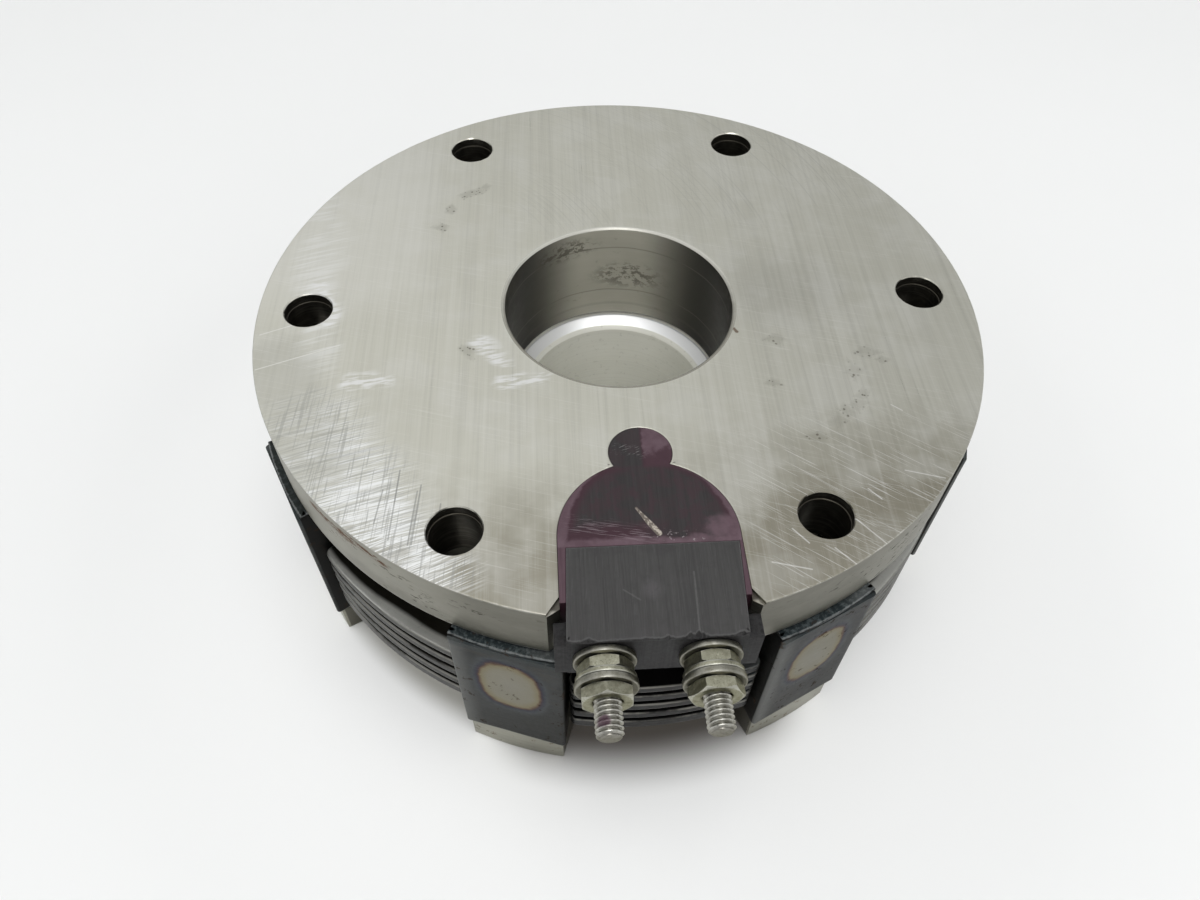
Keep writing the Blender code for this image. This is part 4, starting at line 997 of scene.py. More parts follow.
pot_profile = rounded([(BORE_R, FLANGE_Z, 0), (POT_R, FLANGE_Z, 0), (POT_R, POLE_Z, 0.4), (GROOVE_R1, POLE_Z, 0.2), (GROOVE_R1, GROOVE_Z, 0),
                       (GROOVE_R0, GROOVE_Z, 0), (GROOVE_R0, POLE_Z, 0.2), (BORE_R, POLE_Z, 0.3)], 0.2, 2, 0.5)
pot = to_object("pot_tmp", lathe(pot_profile, N_BORE), M_GROUND)
cutters = []
for s in (-1, 1):
    x0 = SLOT_X + s * (SLOT_R - 0.2)
    step = [(x0, STEP_Y), (x0 + s * STEP_DX * 2, STEP_Y + STEP_DY * 2), (x0 - s * 3, STEP_Y + STEP_DY * 2), (x0 - s * 3, STEP_Y)]
    if s > 0:
        step = step[::-1]
    cutters.append(to_object(f"step_tmp{s}", solid([[(step, TOP - STEP_DEPTH, 0.0), (step, TOP + 1.0, 0.0)]]), M_GROUND))
boolean(flange, [('UNION', pot)] + [('DIFFERENCE', c) for c in cutters])
dress(flange, M_GROUND, 34.0)
for extra in (M_SIDE, M_BORE, M_HOLE):
    flange.data.materials.append(extra)
hole_at = [(HOLE_PCD / 2 * math.cos(math.pi * k / 3), HOLE_PCD / 2 * math.sin(math.pi * k / 3)) for k in range(6)]
for p in flange.data.polygons:
    c = p.center * 1000
    rad = math.hypot(c.x, c.y)
    if p.normal.z > 0.5 and c.z > 50.6 and rad > BORE_R + 0.6:
        p.material_index = 0
    elif rad < BORE_R + 0.7 and c.z > POLE_Z + 0.3:
        p.material_index = 2
    elif c.z > FLANGE_Z - 0.1 and any(math.hypot(c.x - hx, c.y - hy) < 4.8 for hx, hy in hole_at):
        p.material_index = 3
    else:
        p.material_index = 1
place(flange, "stator", ["magnet_body"])

# ------------------------------------------------------------------ resin and terminal block


def block_x(y, side):
    """Flank of the block, a little askew in its slot."""
    t = (y - BLOCK_FRONT_Y) / (RESIN_END_Y - BLOCK_FRONT_Y)
    return -11.93 + 0.48 * t if side < 0 else 13.15 + 0.78 * t


resin_line = keyhole_path(0.015)[::-1]
resin_line += [(block_x(q, -1) - 0.02, q) for q in (RESIN_STRIP_Y, -56.0, RESIN_END_Y)] + [(SLOT_X, RESIN_END_Y)]
resin_line += [(block_x(q, 1) + 0.02, q) for q in (RESIN_END_Y, -56.0, RESIN_STRIP_Y)]
resin = to_object("terminal_resin_visual", solid([wall(resin_line, slab_profile(40.35, TOP - 0.01, 0.02, 0.07, 1))]), M_RESIN)
place(resin, "stator", ["terminal_resin"])

bx0, bx1 = block_x(BLOCK_FRONT_Y, -1), block_x(BLOCK_FRONT_Y, 1)
n_f = 90
front_pts = [(bx0 + (bx1 - bx0) * k / n_f, BLOCK_FRONT_Y) for k in range(n_f + 1)]
side_y = np.linspace(BLOCK_FRONT_Y, RESIN_END_Y - 0.02, 30)[1:]
block_line = front_pts + [(block_x(y, 1), y) for y in side_y] + [(bx1 - 6, side_y[-1]), (SLOT_X, side_y[-1]), (bx0 + 6, side_y[-1])] \
    + [(block_x(y, -1), y) for y in side_y[::-1]]
n_b = len(block_line)
chips = np.full(n_b, 0.05)
raw = rng.rand(n_f + 1)
soft = np.convolve(np.r_[raw[-3:], raw, raw[:3]], np.ones(5) / 5, 'same')[3:-3]
chips[:n_f + 1] = 0.04 + 0.20 * soft + 0.12 * raw
lip = np.zeros(n_b)
lip[:n_f + 1] = 0.34 * np.clip(np.minimum(np.arange(n_f + 1), np.arange(n_f, -1, -1)) / 5.0, 0.0, 1.0)
for c0, w, dpt in ((6.3, 0.9, 0.75), (4.9, 0.7, 0.45), (-8.8, 0.8, 0.35), (-1.2, 0.6, 0.30), (11.9, 0.7, 0.45), (1.9, 0.5, 0.25)):
    xs = np.array([p[0] for p in front_pts])
    chips[:n_f + 1] += dpt * np.exp(-((xs - c0) / w) ** 2) * (0.7 + 0.6 * raw)
rings = [(offset(block_line, 0.24), BLOCK_Z, 0.0), (offset(block_line, 0.15), BLOCK_Z, 0.5), (offset(block_line, 0.0), BLOCK_Z + 0.15, 0.5),
         (offset(block_line, 0.0), BLOCK_Z + 0.7, 0.0), (offset(block_line, 0.0), TOP - 1.25, 0.0),
         (offset(block_line, chips * 0.10 - lip), TOP - 0.10 - chips * 0.8, 0.8), (offset(block_line, chips - lip), TOP - 0.012, 1.0),
         (offset(block_line, chips - lip + 0.45), TOP - 0.012, 0.0)]
blk = to_object("terminal_block_visual", solid([rings]), M_BLOCK)
ear_y = BLOCK_FRONT_Y + 0.05
ear = [(SLOT_X - EAR_X, ear_y), (SLOT_X + EAR_X, ear_y), (SLOT_X + EAR_X, EAR_Y), (SLOT_X - EAR_X, EAR_Y)]
ear_ob = to_object("ear_tmp", solid([wall(ear, slab_profile(BLOCK_Z + 0.04, EAR_TOP, 0.3, 0.8, 2, 0.5))]), M_BLOCK)
boolean(blk, [('UNION', ear_ob)])
dress(blk, M_BLOCK, 30.0)
place(blk, "stator", ["terminal_block"])


# ------------------------------------------------------------------ terminal hardware, built along local +Z
def thread(r_major, r_minor, pitch, length, tip, n=48):
    """Threaded rod from z = 0 to length with a chamfered tip."""
    bm = bmesh.new()
    lay = bm.verts.layers.float.new("edge")
    steps = int(length / (pitch / 10))
    rings = []
    for i in range(steps + 1):
        z = length * i / steps
        row = []
        for k in range(n):
            t = 2 * math.pi * k / n
            f = (z / pitch - k / n) % 1.0
            tri = abs(f - 0.5) * 2
            h = min(1.0, max(0.0, (tri - 0.12) / 0.70))
            r = r_minor + (r_major - r_minor) * h
            r = min(r, r_major - tip + (length - z) * 1.0) if z > length - tip * 1.6 else r
            v = bm.verts.new((r * math.cos(t), r * math.sin(t), z))
            v[lay] = 1.0 if h > 0.95 else (-1.0 if h < 0.05 else h * 1.0 - 0.5)
            row.append(v)
        rings.append(row)
    for a, b in zip(rings, rings[1:]):
        for k in range(n):
            q = (k + 1) % n
            bm.faces.new((a[k], a[q], b[q], b[k]))
    for row, z in ((rings[0], 0.0), (rings[-1], length)):
        inner = []
        for k in range(n):
            v = bm.verts.new((row[k].co.x * 0.8, row[k].co.y * 0.8, z + (0.05 if z > 0 else 0.0)))
            inner.append(v)
        for k in range(n):
            q = (k + 1) % n
            bm.faces.new((row[k], row[q], inner[q], inner[k]))
        bm.faces.new(inner)
    return bm


def hex_nut(af, t, hole, phase):
    """Hexagon nut with turned 30 degree chamfers on both faces and a countersunk bore."""
    bm = bmesh.new()
    lay = bm.verts.layers.float.new("edge")
    n = 96
    rf = af / 2 * 0.985
    apo = af / 2
    rows = []
    th = [phase + 2 * math.pi * k / n for k in range(n)]
    rh = [min(apo / math.cos(((a - phase + math.pi / 6) % (math.pi / 3)) - math.pi / 6 + 0.0), apo / math.cos(math.pi / 6) * 0.995) for a in th]
    zc = [max(0.02, (r - rf) * math.tan(math.radians(30))) for r in rh]

    def row(rs, zs, e):
        out = []
        for k in range(n):
            r = rs[k] if isinstance(rs, list) else rs
            z = zs[k] if isinstance(zs, list) else zs
            v = bm.verts.new((r * math.cos(th[k]), r * math.sin(th[k]), z))
            v[lay] = e
            out.append(v)
        return out
    rows = [row(hole, 0.35, -1.0), row(hole + 0.3, 0.03, 0.4), row(hole + 0.55, 0.0, 0.0), row(rf - 0.3, 0.0, 0.0), row(rf, 0.02, 0.8),
            row(rh, zc, 1.0), row(rh, [z + 0.12 for z in zc], 0.0), row(rh, [t - z - 0.12 for z in zc], 0.0), row(rh, [t - z for z in zc], 1.0),
            row(rf, t - 0.02, 0.8), row(rf - 0.3, t, 0.0), row(hole + 0.55, t, 0.0), row(hole + 0.3, t - 0.03, 0.4), row(hole, t - 0.35, -1.0)]
    for i in range(len(rows)):
        a, b = rows[i], rows[(i + 1) % len(rows)]
        for k in range(n):
            q = (k + 1) % n
            bm.faces.new((a[k], a[q], b[q], b[k]))
    return bm


def washer(r0, r1, t, rr=0.18, n=72):
    return lathe(rounded([(r0, 0), (r1, 0), (r1, t), (r0, t)], rr, 3, 0.3), n)


def split_washer(r0, r1, t, gap_deg, lift, n=72):
    """Spring washer: one turn of rounded square section, cut through, its ends a little apart along the axis."""
    bm = bmesh.new()
    lay = bm.verts.layers.float.new("edge")
    prof = rounded([(r0, 0.0), (r1, 0.0), (r1, t), (r0, t)], 0.14, 2, 0.2)
    rings = []
    span = math.radians(360 - gap_deg)
    for i in range(n + 1):
        a = math.radians(255 + gap_deg / 2) + span * i / n
        dz = (i / n - 0.5) * lift
        row = []
        for r, z, e in prof:
            v = bm.verts.new((r * math.cos(a - (r1 - r) * 0.04), r * math.sin(a - (r1 - r) * 0.04), z + dz))
            v[lay] = e
            row.append(v)
        rings.append(row)
    m = len(prof)
    for a, b in zip(rings, rings[1:]):
        for k in range(m):
            q = (k + 1) % m
            bm.faces.new((a[k], a[q], b[q], b[k]))
    bm.faces.new(rings[0])
    bm.faces.new(rings[-1])
    return bm


TURN = (math.radians(90), 0, 0)
STUD_BACK = -64.0
for side, sx, ph_in, ph_out, seed in (("left", STUD_X[0], 0.06, 0.56, 0.2), ("right", STUD_X[1], -0.02, -0.06, 0.7)):
    length = 78.0 + STUD_BACK - 0.08
    rod = to_object(f"terminal_stud_{side}_visual", thread(STUD_R, 1.56, 0.7, length, 0.45), M_STUD_L if side == "left" else M_STUD_R, 50.0, seed)
    place(rod, "stator", [f"terminal_stud_{side}"], (sx, STUD_BACK, STUD_Z), TURN)
    y = BLOCK_FRONT_Y - 0.12
    for name, bm, t in (("inner_washer", washer(2.05, 4.5, 0.95), 1.02),
                        ("inner_nut", hex_nut(7.0, 1.88, 1.99, ph_in + math.pi / 6), 1.90),
                        ("spring_washer", split_washer(2.1, 4.3, 0.84, 9, 0.10), 0.90),
                        ("outer_washer", washer(2.05, 4.5, 1.0), 1.04),
                        ("outer_nut", hex_nut(7.0, 1.85, 1.99, ph_out + math.pi / 6), 1.9)):
        seed += 0.13
        ob = to_object(f"{name}_{side}_visual", bm, M_WASHER if name in ("inner_washer", "outer_washer") else M_ZINC,
                       28.0 if "nut" in name else 34.0, seed)
        place(ob, "stator", [f"{name}_{side}"], (sx, y, STUD_Z), TURN)
        y -= t

# ------------------------------------------------------------------ carrier: spider and fingers
arms = []
root_half = math.degrees(math.asin(ARM_R1 * math.sin(math.radians(ARM_HALF)) / SPIDER_R1))
for k in range(FINGERS):
    c = k * 45.0
    arms += arc(ARM_R1, c - ARM_HALF, c + ARM_HALF, 14)
    e0, s1 = arms[-1], arc(SPIDER_R1, c + root_half, c + root_half, 1)[0]
    for t in (0.25, 0.5, 0.75):
        arms.append((e0[0] + (s1[0] - e0[0]) * t, e0[1] + (s1[1] - e0[1]) * t))
    arms += arc(SPIDER_R1, c + root_half, c + 45 - root_half, 22)
    s2, e1 = arms[-1], arc(ARM_R1, c + 45 - ARM_HALF, c + 45, 1)[0]
    for t in (0.25, 0.5, 0.75):
        arms.append((s2[0] + (e1[0] - s2[0]) * t, s2[1] + (e1[1] - s2[1]) * t))
spider_profile = rounded([(0.9, 0), (0, 0, 0.35), (0, SPIDER_T, 0.2), (0.9, SPIDER_T)], 0.3, 3, 0.6, False, -1)
hole_profile = rounded([(1.4, 0), (0, 0, 0.8), (0, SPIDER_T, 0.4), (1.4, SPIDER_T)], 0.3, 3, 0.6, False, -1)
spider = to_object("carrier_spider_visual", solid([wall(arms, spider_profile, 0.04), wall(circle(SPIDER_R0, 160, hole=True), hole_profile)]), M_SPIDER)
place(turn(spider, FINGER_OFFSET), "stator", ["carrier_spider"])

for k in range(FINGERS):
    flat_r = FINGER_FLAT - 0.03
    w = flat_r * math.tan(math.radians(FINGER_HALF)) - 0.03
    ch = 0.6
    outer = [(flat_r - ch, -w)] + [(flat_r - ch * (1 - math.sin(t)), -w + ch * (1 - math.cos(t)))
                                        for t in np.linspace(0.35, math.pi / 2, 4)[:-1]]
    outer += [(flat_r, q) for q in np.linspace(-w + ch, w - ch, 27)]
    outer += [(flat_r - ch * (1 - math.sin(t)), w - ch * (1 - math.cos(t))) for t in np.linspace(math.pi / 2, 0.35, 4)[1:]]
    outer += [(flat_r - ch, w)]
    inner = [(FINGER_R0 * math.cos(t), FINGER_R0 * math.sin(t)) for t in np.radians(np.linspace(FINGER_HALF, -FINGER_HALF, 17))]
    line = np.array(outer + inner)
    limit = np.minimum(1.0, FINGER_TOP_R / np.hypot(line[:, 0], line[:, 1]))
    n_o = len(line)
    raw = rng.rand(n_o)
    rag = (raw + np.roll(raw, 1)) / 2
    top_line = line * limit[:, None]
    rings = [(offset(line, 0.9), FINGER_Z0, 0.0), (offset(line, 0.14), FINGER_Z0, 1.0), (line, FINGER_Z0 + 0.14, 1.0), (line, FINGER_Z0 + 0.7, 0.0),
             (line, 20.0, 0.0), (line, 38.4, 0.0), (line, 39.05, 0.25), (top_line, 39.15, 0.25), (top_line, 39.45, 0.1),
             (top_line, 39.68, 0.6 + 0.4 * rag), (offset(top_line, 0.10 + 0.10 * rag), FINGER_Z1 - 0.02, 1.0), (offset(top_line, 0.5), FINGER_Z1, 0.3),
             (offset(top_line, 1.0), FINGER_Z1, 0.0)]
    f = to_object(f"carrier_finger_{k + 1}_visual", solid([rings]), M_OXIDE, 34.0, (0.5, 0.83, 0.21, 0.64, 0.07, 0.93, 0.36, 0.99)[k])
    loc = f.data.attributes.new("loc", 'FLOAT_VECTOR', 'POINT')
    co = np.empty(len(f.data.vertices) * 3, np.float32)
    f.data.vertices.foreach_get("co", co)
    loc.data.foreach_set("vector", co * 1000)
    place(turn(f, FINGER_OFFSET + k * 45.0), "stator", [f"carrier_finger_{k + 1}"])


# ------------------------------------------------------------------ discs
def fillet(p_prev, p, p_next, r, n):
    a = (Vector(p_prev) - Vector(p)).normalized()
    b = (Vector(p_next) - Vector(p)).normalized()
    half = math.acos(max(-1, min(1, a.dot(b)))) / 2
    d = r / math.tan(half)
    c = Vector(p) + (a + b).normalized() * (r / math.sin(half))
    s, e = Vector(p) + a * d - c, Vector(p) + b * d - c
    a0 = math.atan2(s.y, s.x)
    da = (math.atan2(e.y, e.x) - a0 + math.pi) % (2 * math.pi) - math.pi
    return [(c.x + r * math.cos(a0 + da * k / n), c.y + r * math.sin(a0 + da * k / n)) for k in range(n + 1)]


def disc_outline():
    pts = []
    for k in range(8):
        c = (k + 0.5) * 45.0
        e0, e1 = c - LUG_HALF, c + LUG_HALF
        lug = arc(LUG_R, e0, e1, 44)
        n0, n1 = arc(NOTCH_R, e0, e1, 1)
        pts += fillet(arc(NOTCH_R, e0 - 2, e0, 1)[0], n0, lug[0], 0.6, 4)
        pts += fillet(n0, lug[0], lug[1], 1.2, 6)
        pts += lug[3:-3]
        pts += fillet(lug[-2], lug[-1], n1, 1.2, 6)
        pts += fillet(lug[-1], n1, arc(NOTCH_R, e1, e1 + 2, 1)[1], 0.6, 4)
        pts += arc(NOTCH_R, e1 + 0.9, c + 45 - LUG_HALF - 0.9, 16)
    return pts


def splined(root, tip, teeth, fill, phase=0.0, hole=False):
    pts, step = [], 2 * math.pi / teeth
    for k in range(teeth):
        c, h = phase + k * step, step * fill / 2
        for r, a in ((root, c - h), (tip, c - h * 0.94), (tip, c + h * 0.94), (root, c + h)):
            pts.append((r * math.cos(a), r * math.sin(a)))
        a0, a1 = c + h, c + step - h
        pts += [(root * math.cos(a0 + (a1 - a0) * q / 5), root * math.sin(a0 + (a1 - a0) * q / 5)) for q in range(1, 5)]
    return pts[::-1] if hole else pts


for k in range(5):
    t = END_T if k == 4 else OUTER_T
    z = STACK_TOP - k * PITCH - t / 2
    ob = to_object(f"outer_disc_{k + 1}_visual", solid([
        wall(disc_outline(), rounded([(0.7, -t / 2), (0, -t / 2, 0.16), (0, t / 2, 0.22), (0.7, t / 2)], 0.2, 2, 0.3, False, -1), 0.014, 0.014),
        wall(circle(OUTER_BORE_R, 120, hole=True), slab_profile(-t / 2, t / 2, 0.15, 0.6, 2))]), M_DISC if k == 0 else M_DISC_END if k == 4 else M_DISC_LOW, 38.0, 0.11 + 0.19 * k)
    place(turn(ob, FINGER_OFFSET), f"outer_disc_{k + 1}", [f"outer_disc_{k + 1}"], (0, 0, z))

inner_line = splined(SPLINE_TIP_R + 0.3, SPLINE_ROOT_R + 0.3, SPLINES, 0.44, math.pi / SPLINES, True)
for k in range(4):
    z = STACK_TOP - k * PITCH - OUTER_T - 0.3 - INNER_T / 2
    h = INNER_T / 2
    ob = to_object(f"inner_disc_{k + 1}_visual", solid([
        wall(circle(INNER_R, 300), rounded([(0.7, -h), (0, -h, 0.12), (0, h, 0.16), (0.7, h)], 0.15, 2, 0.2, False, -1), 0.05, 0.04),
        wall(inner_line, slab_profile(-h, h, 0.06, 0.25, 1))]), M_INNER, 38.0, 0.31 + 0.17 * k)
    place(ob, f"inner_disc_{k + 1}", [f"inner_disc_{k + 1}"], (0, 0, z))

za = (ARMATURE_Z0 + ARMATURE_Z1) / 2
ha = (ARMATURE_Z1 - ARMATURE_Z0) / 2
arm = to_object("armature_plate_visual", solid([
    wall(circle(ARMATURE_R, 300), slab_profile(-ha, ha, 0.4, 0.9, 3), 0.02),
    wall(inner_line, slab_profile(-ha, ha, 0.08, 0.3, 1))]), M_ARMATURE, 34.0, 0.4)
place(arm, "armature", ["armature_plate"], (0, 0, za))

# ------------------------------------------------------------------ hub, adjusting nut, lock screw
teeth = splined(SPLINE_ROOT_R, SPLINE_TIP_R, SPLINES, 0.44)
angles = [math.atan2(b, a) for a, b in teeth]
zh = (HUB_TOP + HUB_BOTTOM) / 2


def hub_round(r):
    return [(r * math.cos(a), r * math.sin(a)) for a in angles]


outer_rings = [(hub_round(HUB_THREAD_R - 1.3), HUB_BOTTOM, 0.0), (hub_round(HUB_THREAD_R - 0.75), HUB_BOTTOM, 1.0),
               (hub_round(HUB_THREAD_R - 0.1), HUB_BOTTOM + 0.65, 1.0)]
zt = HUB_BOTTOM + 0.9
while zt < 8.2:
    outer_rings += [(hub_round(HUB_THREAD_R), zt, 0.7), (hub_round(HUB_THREAD_R - 0.55), zt + 0.5, -1.0)]
    zt += 1.0
outer_rings += [(hub_round(HUB_THREAD_R - 0.2), 8.5, 0.0), (hub_round(HUB_THREAD_R - 0.1), 8.7, -0.5), (teeth, 8.7, 0.3),
                (offset(teeth, 0.0), 9.2, 0.0), (offset(teeth, 0.0), HUB_TOP - 0.6, 0.0), (offset(teeth, 0.0), HUB_TOP - 0.25, 1.0),
                (offset(teeth, 0.2), HUB_TOP, 1.0), (hub_round(26.9), HUB_TOP, 0.0)]
a_key = math.degrees(math.asin(KEYWAY_HALF / HUB_BORE_R))


def bore_line(r):
    """Bore with its keyway at -Y, as a hole."""
    a = math.degrees(math.asin(KEYWAY_HALF / r))
    p = arc(r, 270 - a, -90 + a, 150)
    xk = KEYWAY_HALF
    p += [(xk, -(math.sqrt(r * r - xk * xk) * (1 - q) + KEYWAY_R * q)) for q in (0.33, 0.66)] + [(xk, -KEYWAY_R)]
    p += [(xk * q, -KEYWAY_R) for q in (0.5, 0.0, -0.5)]
    p += [(-xk, -KEYWAY_R)] + [(-xk, -(math.sqrt(r * r - xk * xk) * (1 - q) + KEYWAY_R * q)) for q in (0.66, 0.33)]
    return p


bore_rings = []
for u, z, e in rounded([(1.2, HUB_BOTTOM), (0.5, HUB_BOTTOM, 0.05), (0, HUB_BOTTOM + 0.5, 0.05), (0, HUB_TOP - 1.7, 0.05),
                        (0.65, HUB_TOP - 0.86, 0.05), (2.8, HUB_TOP, 0.05), (3.25, HUB_TOP)], 0.1, 2, 0.4, False, -1):
    bore_rings.append((bore_line(HUB_BORE_R + u), z, e))
hub_bm = solid([[(p, z - zh, e) for p, z, e in outer_rings], [(p, z - zh, e) for p, z, e in bore_rings]])
bmesh.ops.remove_doubles(hub_bm, verts=hub_bm.verts, dist=1e-4)
hub = to_object("hub_visual", hub_bm, M_HUB, 34.0, 0.3)
place(hub, "hub", ["hub"], (0, 0, zh))

zn = (NUT_Z0 + NUT_Z1) / 2
hn = (NUT_Z1 - NUT_Z0) / 2
nut_profile = rounded([(NUT_R0, -hn, 0.3), (NUT_R1, -hn, 0.7), (NUT_R1, hn, 0.7), (NUT_R0, hn, 0.3)], 0.5, 3, 0.6)
ring = to_object("adjusting_nut_visual", lathe(nut_profile, 180), M_BLACK)
cutters = []
for k in range(4):
    a = math.pi / 4 + k * math.pi / 2
    x0, x1 = NUT_R1 - 2.6, NUT_R1 + 2
    box = [(x0, -2.5), (x1, -2.5), (x1, 2.5), (x0, 2.5)]
    box = [(px * math.cos(a) - py * math.sin(a), px * math.sin(a) + py * math.cos(a)) for px, py in box]
    cutters.append(to_object(f"slot_tmp{k}", solid([[(box, -5.0, 0.0), (box, 5.0, 0.0)]]), M_BLACK))
bore_cut = to_object("screw_tmp", lathe([(0, 0, 0), (1.95, 0, 0), (1.95, 14, 0), (0, 14, 0)], 40), M_BLACK)
bore_cut.data.transform(Matrix.Translation((0.024, 0, 0)) @ Matrix.Rotation(math.radians(90), 4, 'Y'))
cutters.append(bore_cut)
boolean(ring, [('DIFFERENCE', c) for c in cutters])
m = ring.modifiers.new("bevel", 'BEVEL')
m.width, m.segments, m.limit_method, m.angle_limit = 0.00025, 2, 'ANGLE', math.radians(50)
dress(ring, M_BLACK, 34.0)
place(ring, "hub", ["adjusting_nut"], (0, 0, zn))


def hex_ring(r, n=48):
    """Hexagon with n points, a corner at azimuth 0."""
    q = [(t, r * math.cos(math.pi / 6) / math.cos(t % (math.pi / 3) - math.pi / 6)) for t in (2 * math.pi * k / n for k in range(n))]
    return [(d * math.cos(t), d * math.sin(t)) for t, d in q]


screw = to_object("nut_lock_screw_visual", solid([[
    (circle(1.0, 48), 0.0, 0.0), (circle(1.3, 48), 0.0, 0.7), (circle(1.85, 48), 0.6, 0.7), (circle(1.85, 48), 5.2, 0.7),
    (circle(1.5, 48), 5.6, 0.8), (hex_ring(1.16), 5.6, 0.8), (hex_ring(1.16), 3.6, -0.5)]]), M_BLACK, 34.0, 0.5)
place(screw, "hub", ["nut_lock_screw"], (27.6, 0, zn), (0, math.radians(90), 0))

# ------------------------------------------------------------------ coil
gt, gb = 39.3, 31.1
pot_ring = to_object("coil_potting_visual", lathe(rounded([(GROOVE_R0 + 0.05, POLE_Z + 0.12), (GROOVE_R1 - 0.05, POLE_Z + 0.12), (GROOVE_R1 - 0.05, gb - 0.2),
                                                           (GROOVE_R0 + 0.05, gb - 0.2)], 0.1, 2, 0.4), 200), M_POT)
place(pot_ring, "stator", ["coil_potting"])
for name, mat in (("coil_bobbin", M_BOBBIN), ("coil_winding", M_COPPER), ("coil_lead_left", M_COPPER), ("coil_lead_right", M_COPPER)):
    me = NODES[name].data
    if not me.materials:
        me.materials.append(mat)
    for k in range(len(me.materials)):
        me.materials[k] = mat


# ------------------------------------------------------------------ floor, light, camera
def floor_mat():
    g = Mat("pale_floor", specular=0.25)
    n1 = g.noise(g.P, 0.006, 3.0, 0.6)
    c = g.mix(n1, (0.800, 0.803, 0.798), (0.835, 0.838, 0.835))
    v = g.y - AY * 1000
    d = g.sqrt(g.x * g.x + v * v)
    # painted light: the floor is painted paler around the object, lifting its shadow
    c = g.mix(g.smooth(d, 112.0, 70.0) * 0.70, c, (0.945, 0.947, 0.942))
    # painted shadow: a dark brown contact shadow on the floor at the left front, beside the discs
    c = g.mix(g.smooth(d, 66.0, 60.5) * g.smooth(g.x, -12.0, -22.0) * g.smooth(v, -8.0, -24.0) * 0.62, c, (0.150, 0.138, 0.092))
    # brownish shade on the side that the lamps do not reach, under the terminals
    c = g.mix(g.smooth(d, 72.0, 60.0) * g.smooth(g.absf(g.x - 3.0), 32.0, 20.0) * g.smooth(v, -30.0, -50.0) * 0.95, c, (0.050, 0.040, 0.032))
    return g.done(c, 0.52 + n1 * 0.06)


me = bpy.data.meshes.new("floor")
bm = bmesh.new()
ring0 = None
centre = bm.verts.new((0, 0, 0))
for rr, zz in ((1.2, 0.0), (1.7, 0.02), (2.1, 0.14), (2.4, 0.42), (2.55, 0.9), (2.6, 1.6)):
    row = [bm.verts.new((rr * math.cos(2 * math.pi * k / 96), rr * math.sin(2 * math.pi * k / 96), zz)) for k in range(96)]
    for k in range(96):
        q = (k + 1) % 96
        if ring0 is None:
            bm.faces.new((centre, row[k], row[q]))
        else:
            bm.faces.new((ring0[k], ring0[q], row[q], row[k]))
    ring0 = row
bmesh.ops.recalc_face_normals(bm, faces=bm.faces)
bm.normal_update()
if centre.normal.z < 0:
    bmesh.ops.reverse_faces(bm, faces=bm.faces)
bm.to_mesh(me)
bm.free()
me.shade_smooth()
me.materials.append(floor_mat())
floor = bpy.data.objects.new("floor", me)
floor.location = (0, 0, -0.0002)
bpy.context.scene.collection.objects.link(floor)

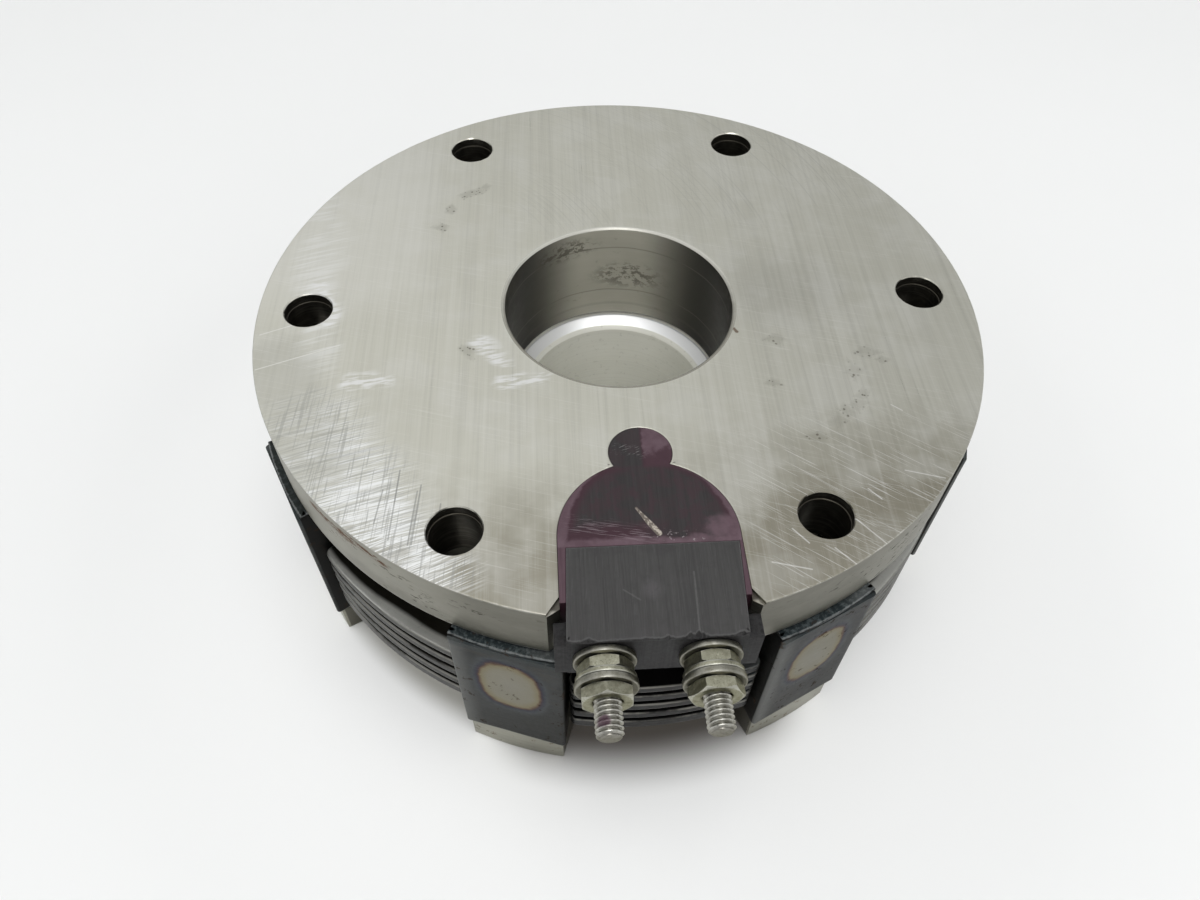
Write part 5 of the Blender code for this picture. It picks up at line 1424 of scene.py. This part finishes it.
world = bpy.data.worlds.new("studio")
bpy.context.scene.world = world
world.use_nodes = True
wn, wl = world.node_tree.nodes, world.node_tree.links
bg = wn["Background"]
tc = wn.new("ShaderNodeTexCoord")
sep = wn.new("ShaderNodeSeparateXYZ")
wl.new(tc.outputs["Generated"], sep.inputs[0])
fx = wn.new("ShaderNodeMapRange")
fx.interpolation_type = 'SMOOTHSTEP'
for k, v in enumerate((None, -0.45, 0.55, 1.0, 0.62)):
    if v is not None:
        fx.inputs[k].default_value = v
wl.new(sep.outputs[0], fx.inputs[0])
fz = wn.new("ShaderNodeMapRange")
fz.interpolation_type = 'SMOOTHSTEP'
for k, v in enumerate((None, 0.0, 0.75, 0.62, 1.0)):
    if v is not None:
        fz.inputs[k].default_value = v
wl.new(sep.outputs[2], fz.inputs[0])
mul = wn.new("ShaderNodeMath")
mul.operation = 'MULTIPLY'
wl.new(fx.outputs[0], mul.inputs[0])
wl.new(fz.outputs[0], mul.inputs[1])
wl.new(mul.outputs[0], bg.inputs["Strength"])
bg.inputs["Color"].default_value = (0.985, 0.995, 1.0, 1.0)


def area(name, loc, target, size, power, colour=(1, 1, 1)):
    li = bpy.data.lights.new(name, 'AREA')
    li.shape, li.size, li.energy, li.color = 'SQUARE', size, power, colour
    ob = bpy.data.objects.new(name, li)
    ob.location = loc
    ob.rotation_euler = (Vector(target) - Vector(loc)).to_track_quat('-Z', 'Y').to_euler()
    bpy.context.scene.collection.objects.link(ob)
    return ob


soft = area("softbox_left", (-0.75, 0.55, 0.95), (0, 0, 0.02), 0.8, 1.0, (1.0, 0.995, 0.98))
soft.visible_glossy = False
area("softbox_top", (0.10, -0.10, 1.25), (0, 0, 0.02), 0.55, 2.1, (0.98, 0.99, 1.0))
area("softbox_right", (0.85, -0.25, 0.75), (0, 0, 0.02), 0.6, 0.6, (1.0, 0.985, 0.96))
area("softbox_front", (-0.02, -0.80, 1.02), (0, 0, 0.02), 0.5, 5.0, (1.0, 0.995, 0.985))

cam_data = bpy.data.cameras.new("camera")
cam = bpy.data.objects.new("camera", cam_data)
bpy.context.scene.collection.objects.link(cam)
cam_data.sensor_fit, cam_data.sensor_width, cam_data.lens = 'HORIZONTAL', 36.0, 27.08110
cam_data.clip_start, cam_data.clip_end = 0.005, 20.0
X = (0.99809169, -0.05989754, 0.01500863)
Y = (0.03787719, 0.78583227, 0.61727868)
Z = (-0.04876774, -0.61553223, 0.78660141)
L = (-0.012324989, -0.121039054 + AY, 0.162778265)
cam.matrix_world = Matrix(((X[0], Y[0], Z[0], L[0]), (X[1], Y[1], Z[1], L[1]), (X[2], Y[2], Z[2], L[2]), (0, 0, 0, 1)))
bpy.context.scene.camera = cam
bpy.context.scene.view_settings.view_transform = 'Standard'
bpy.context.scene.view_settings.look = 'None'
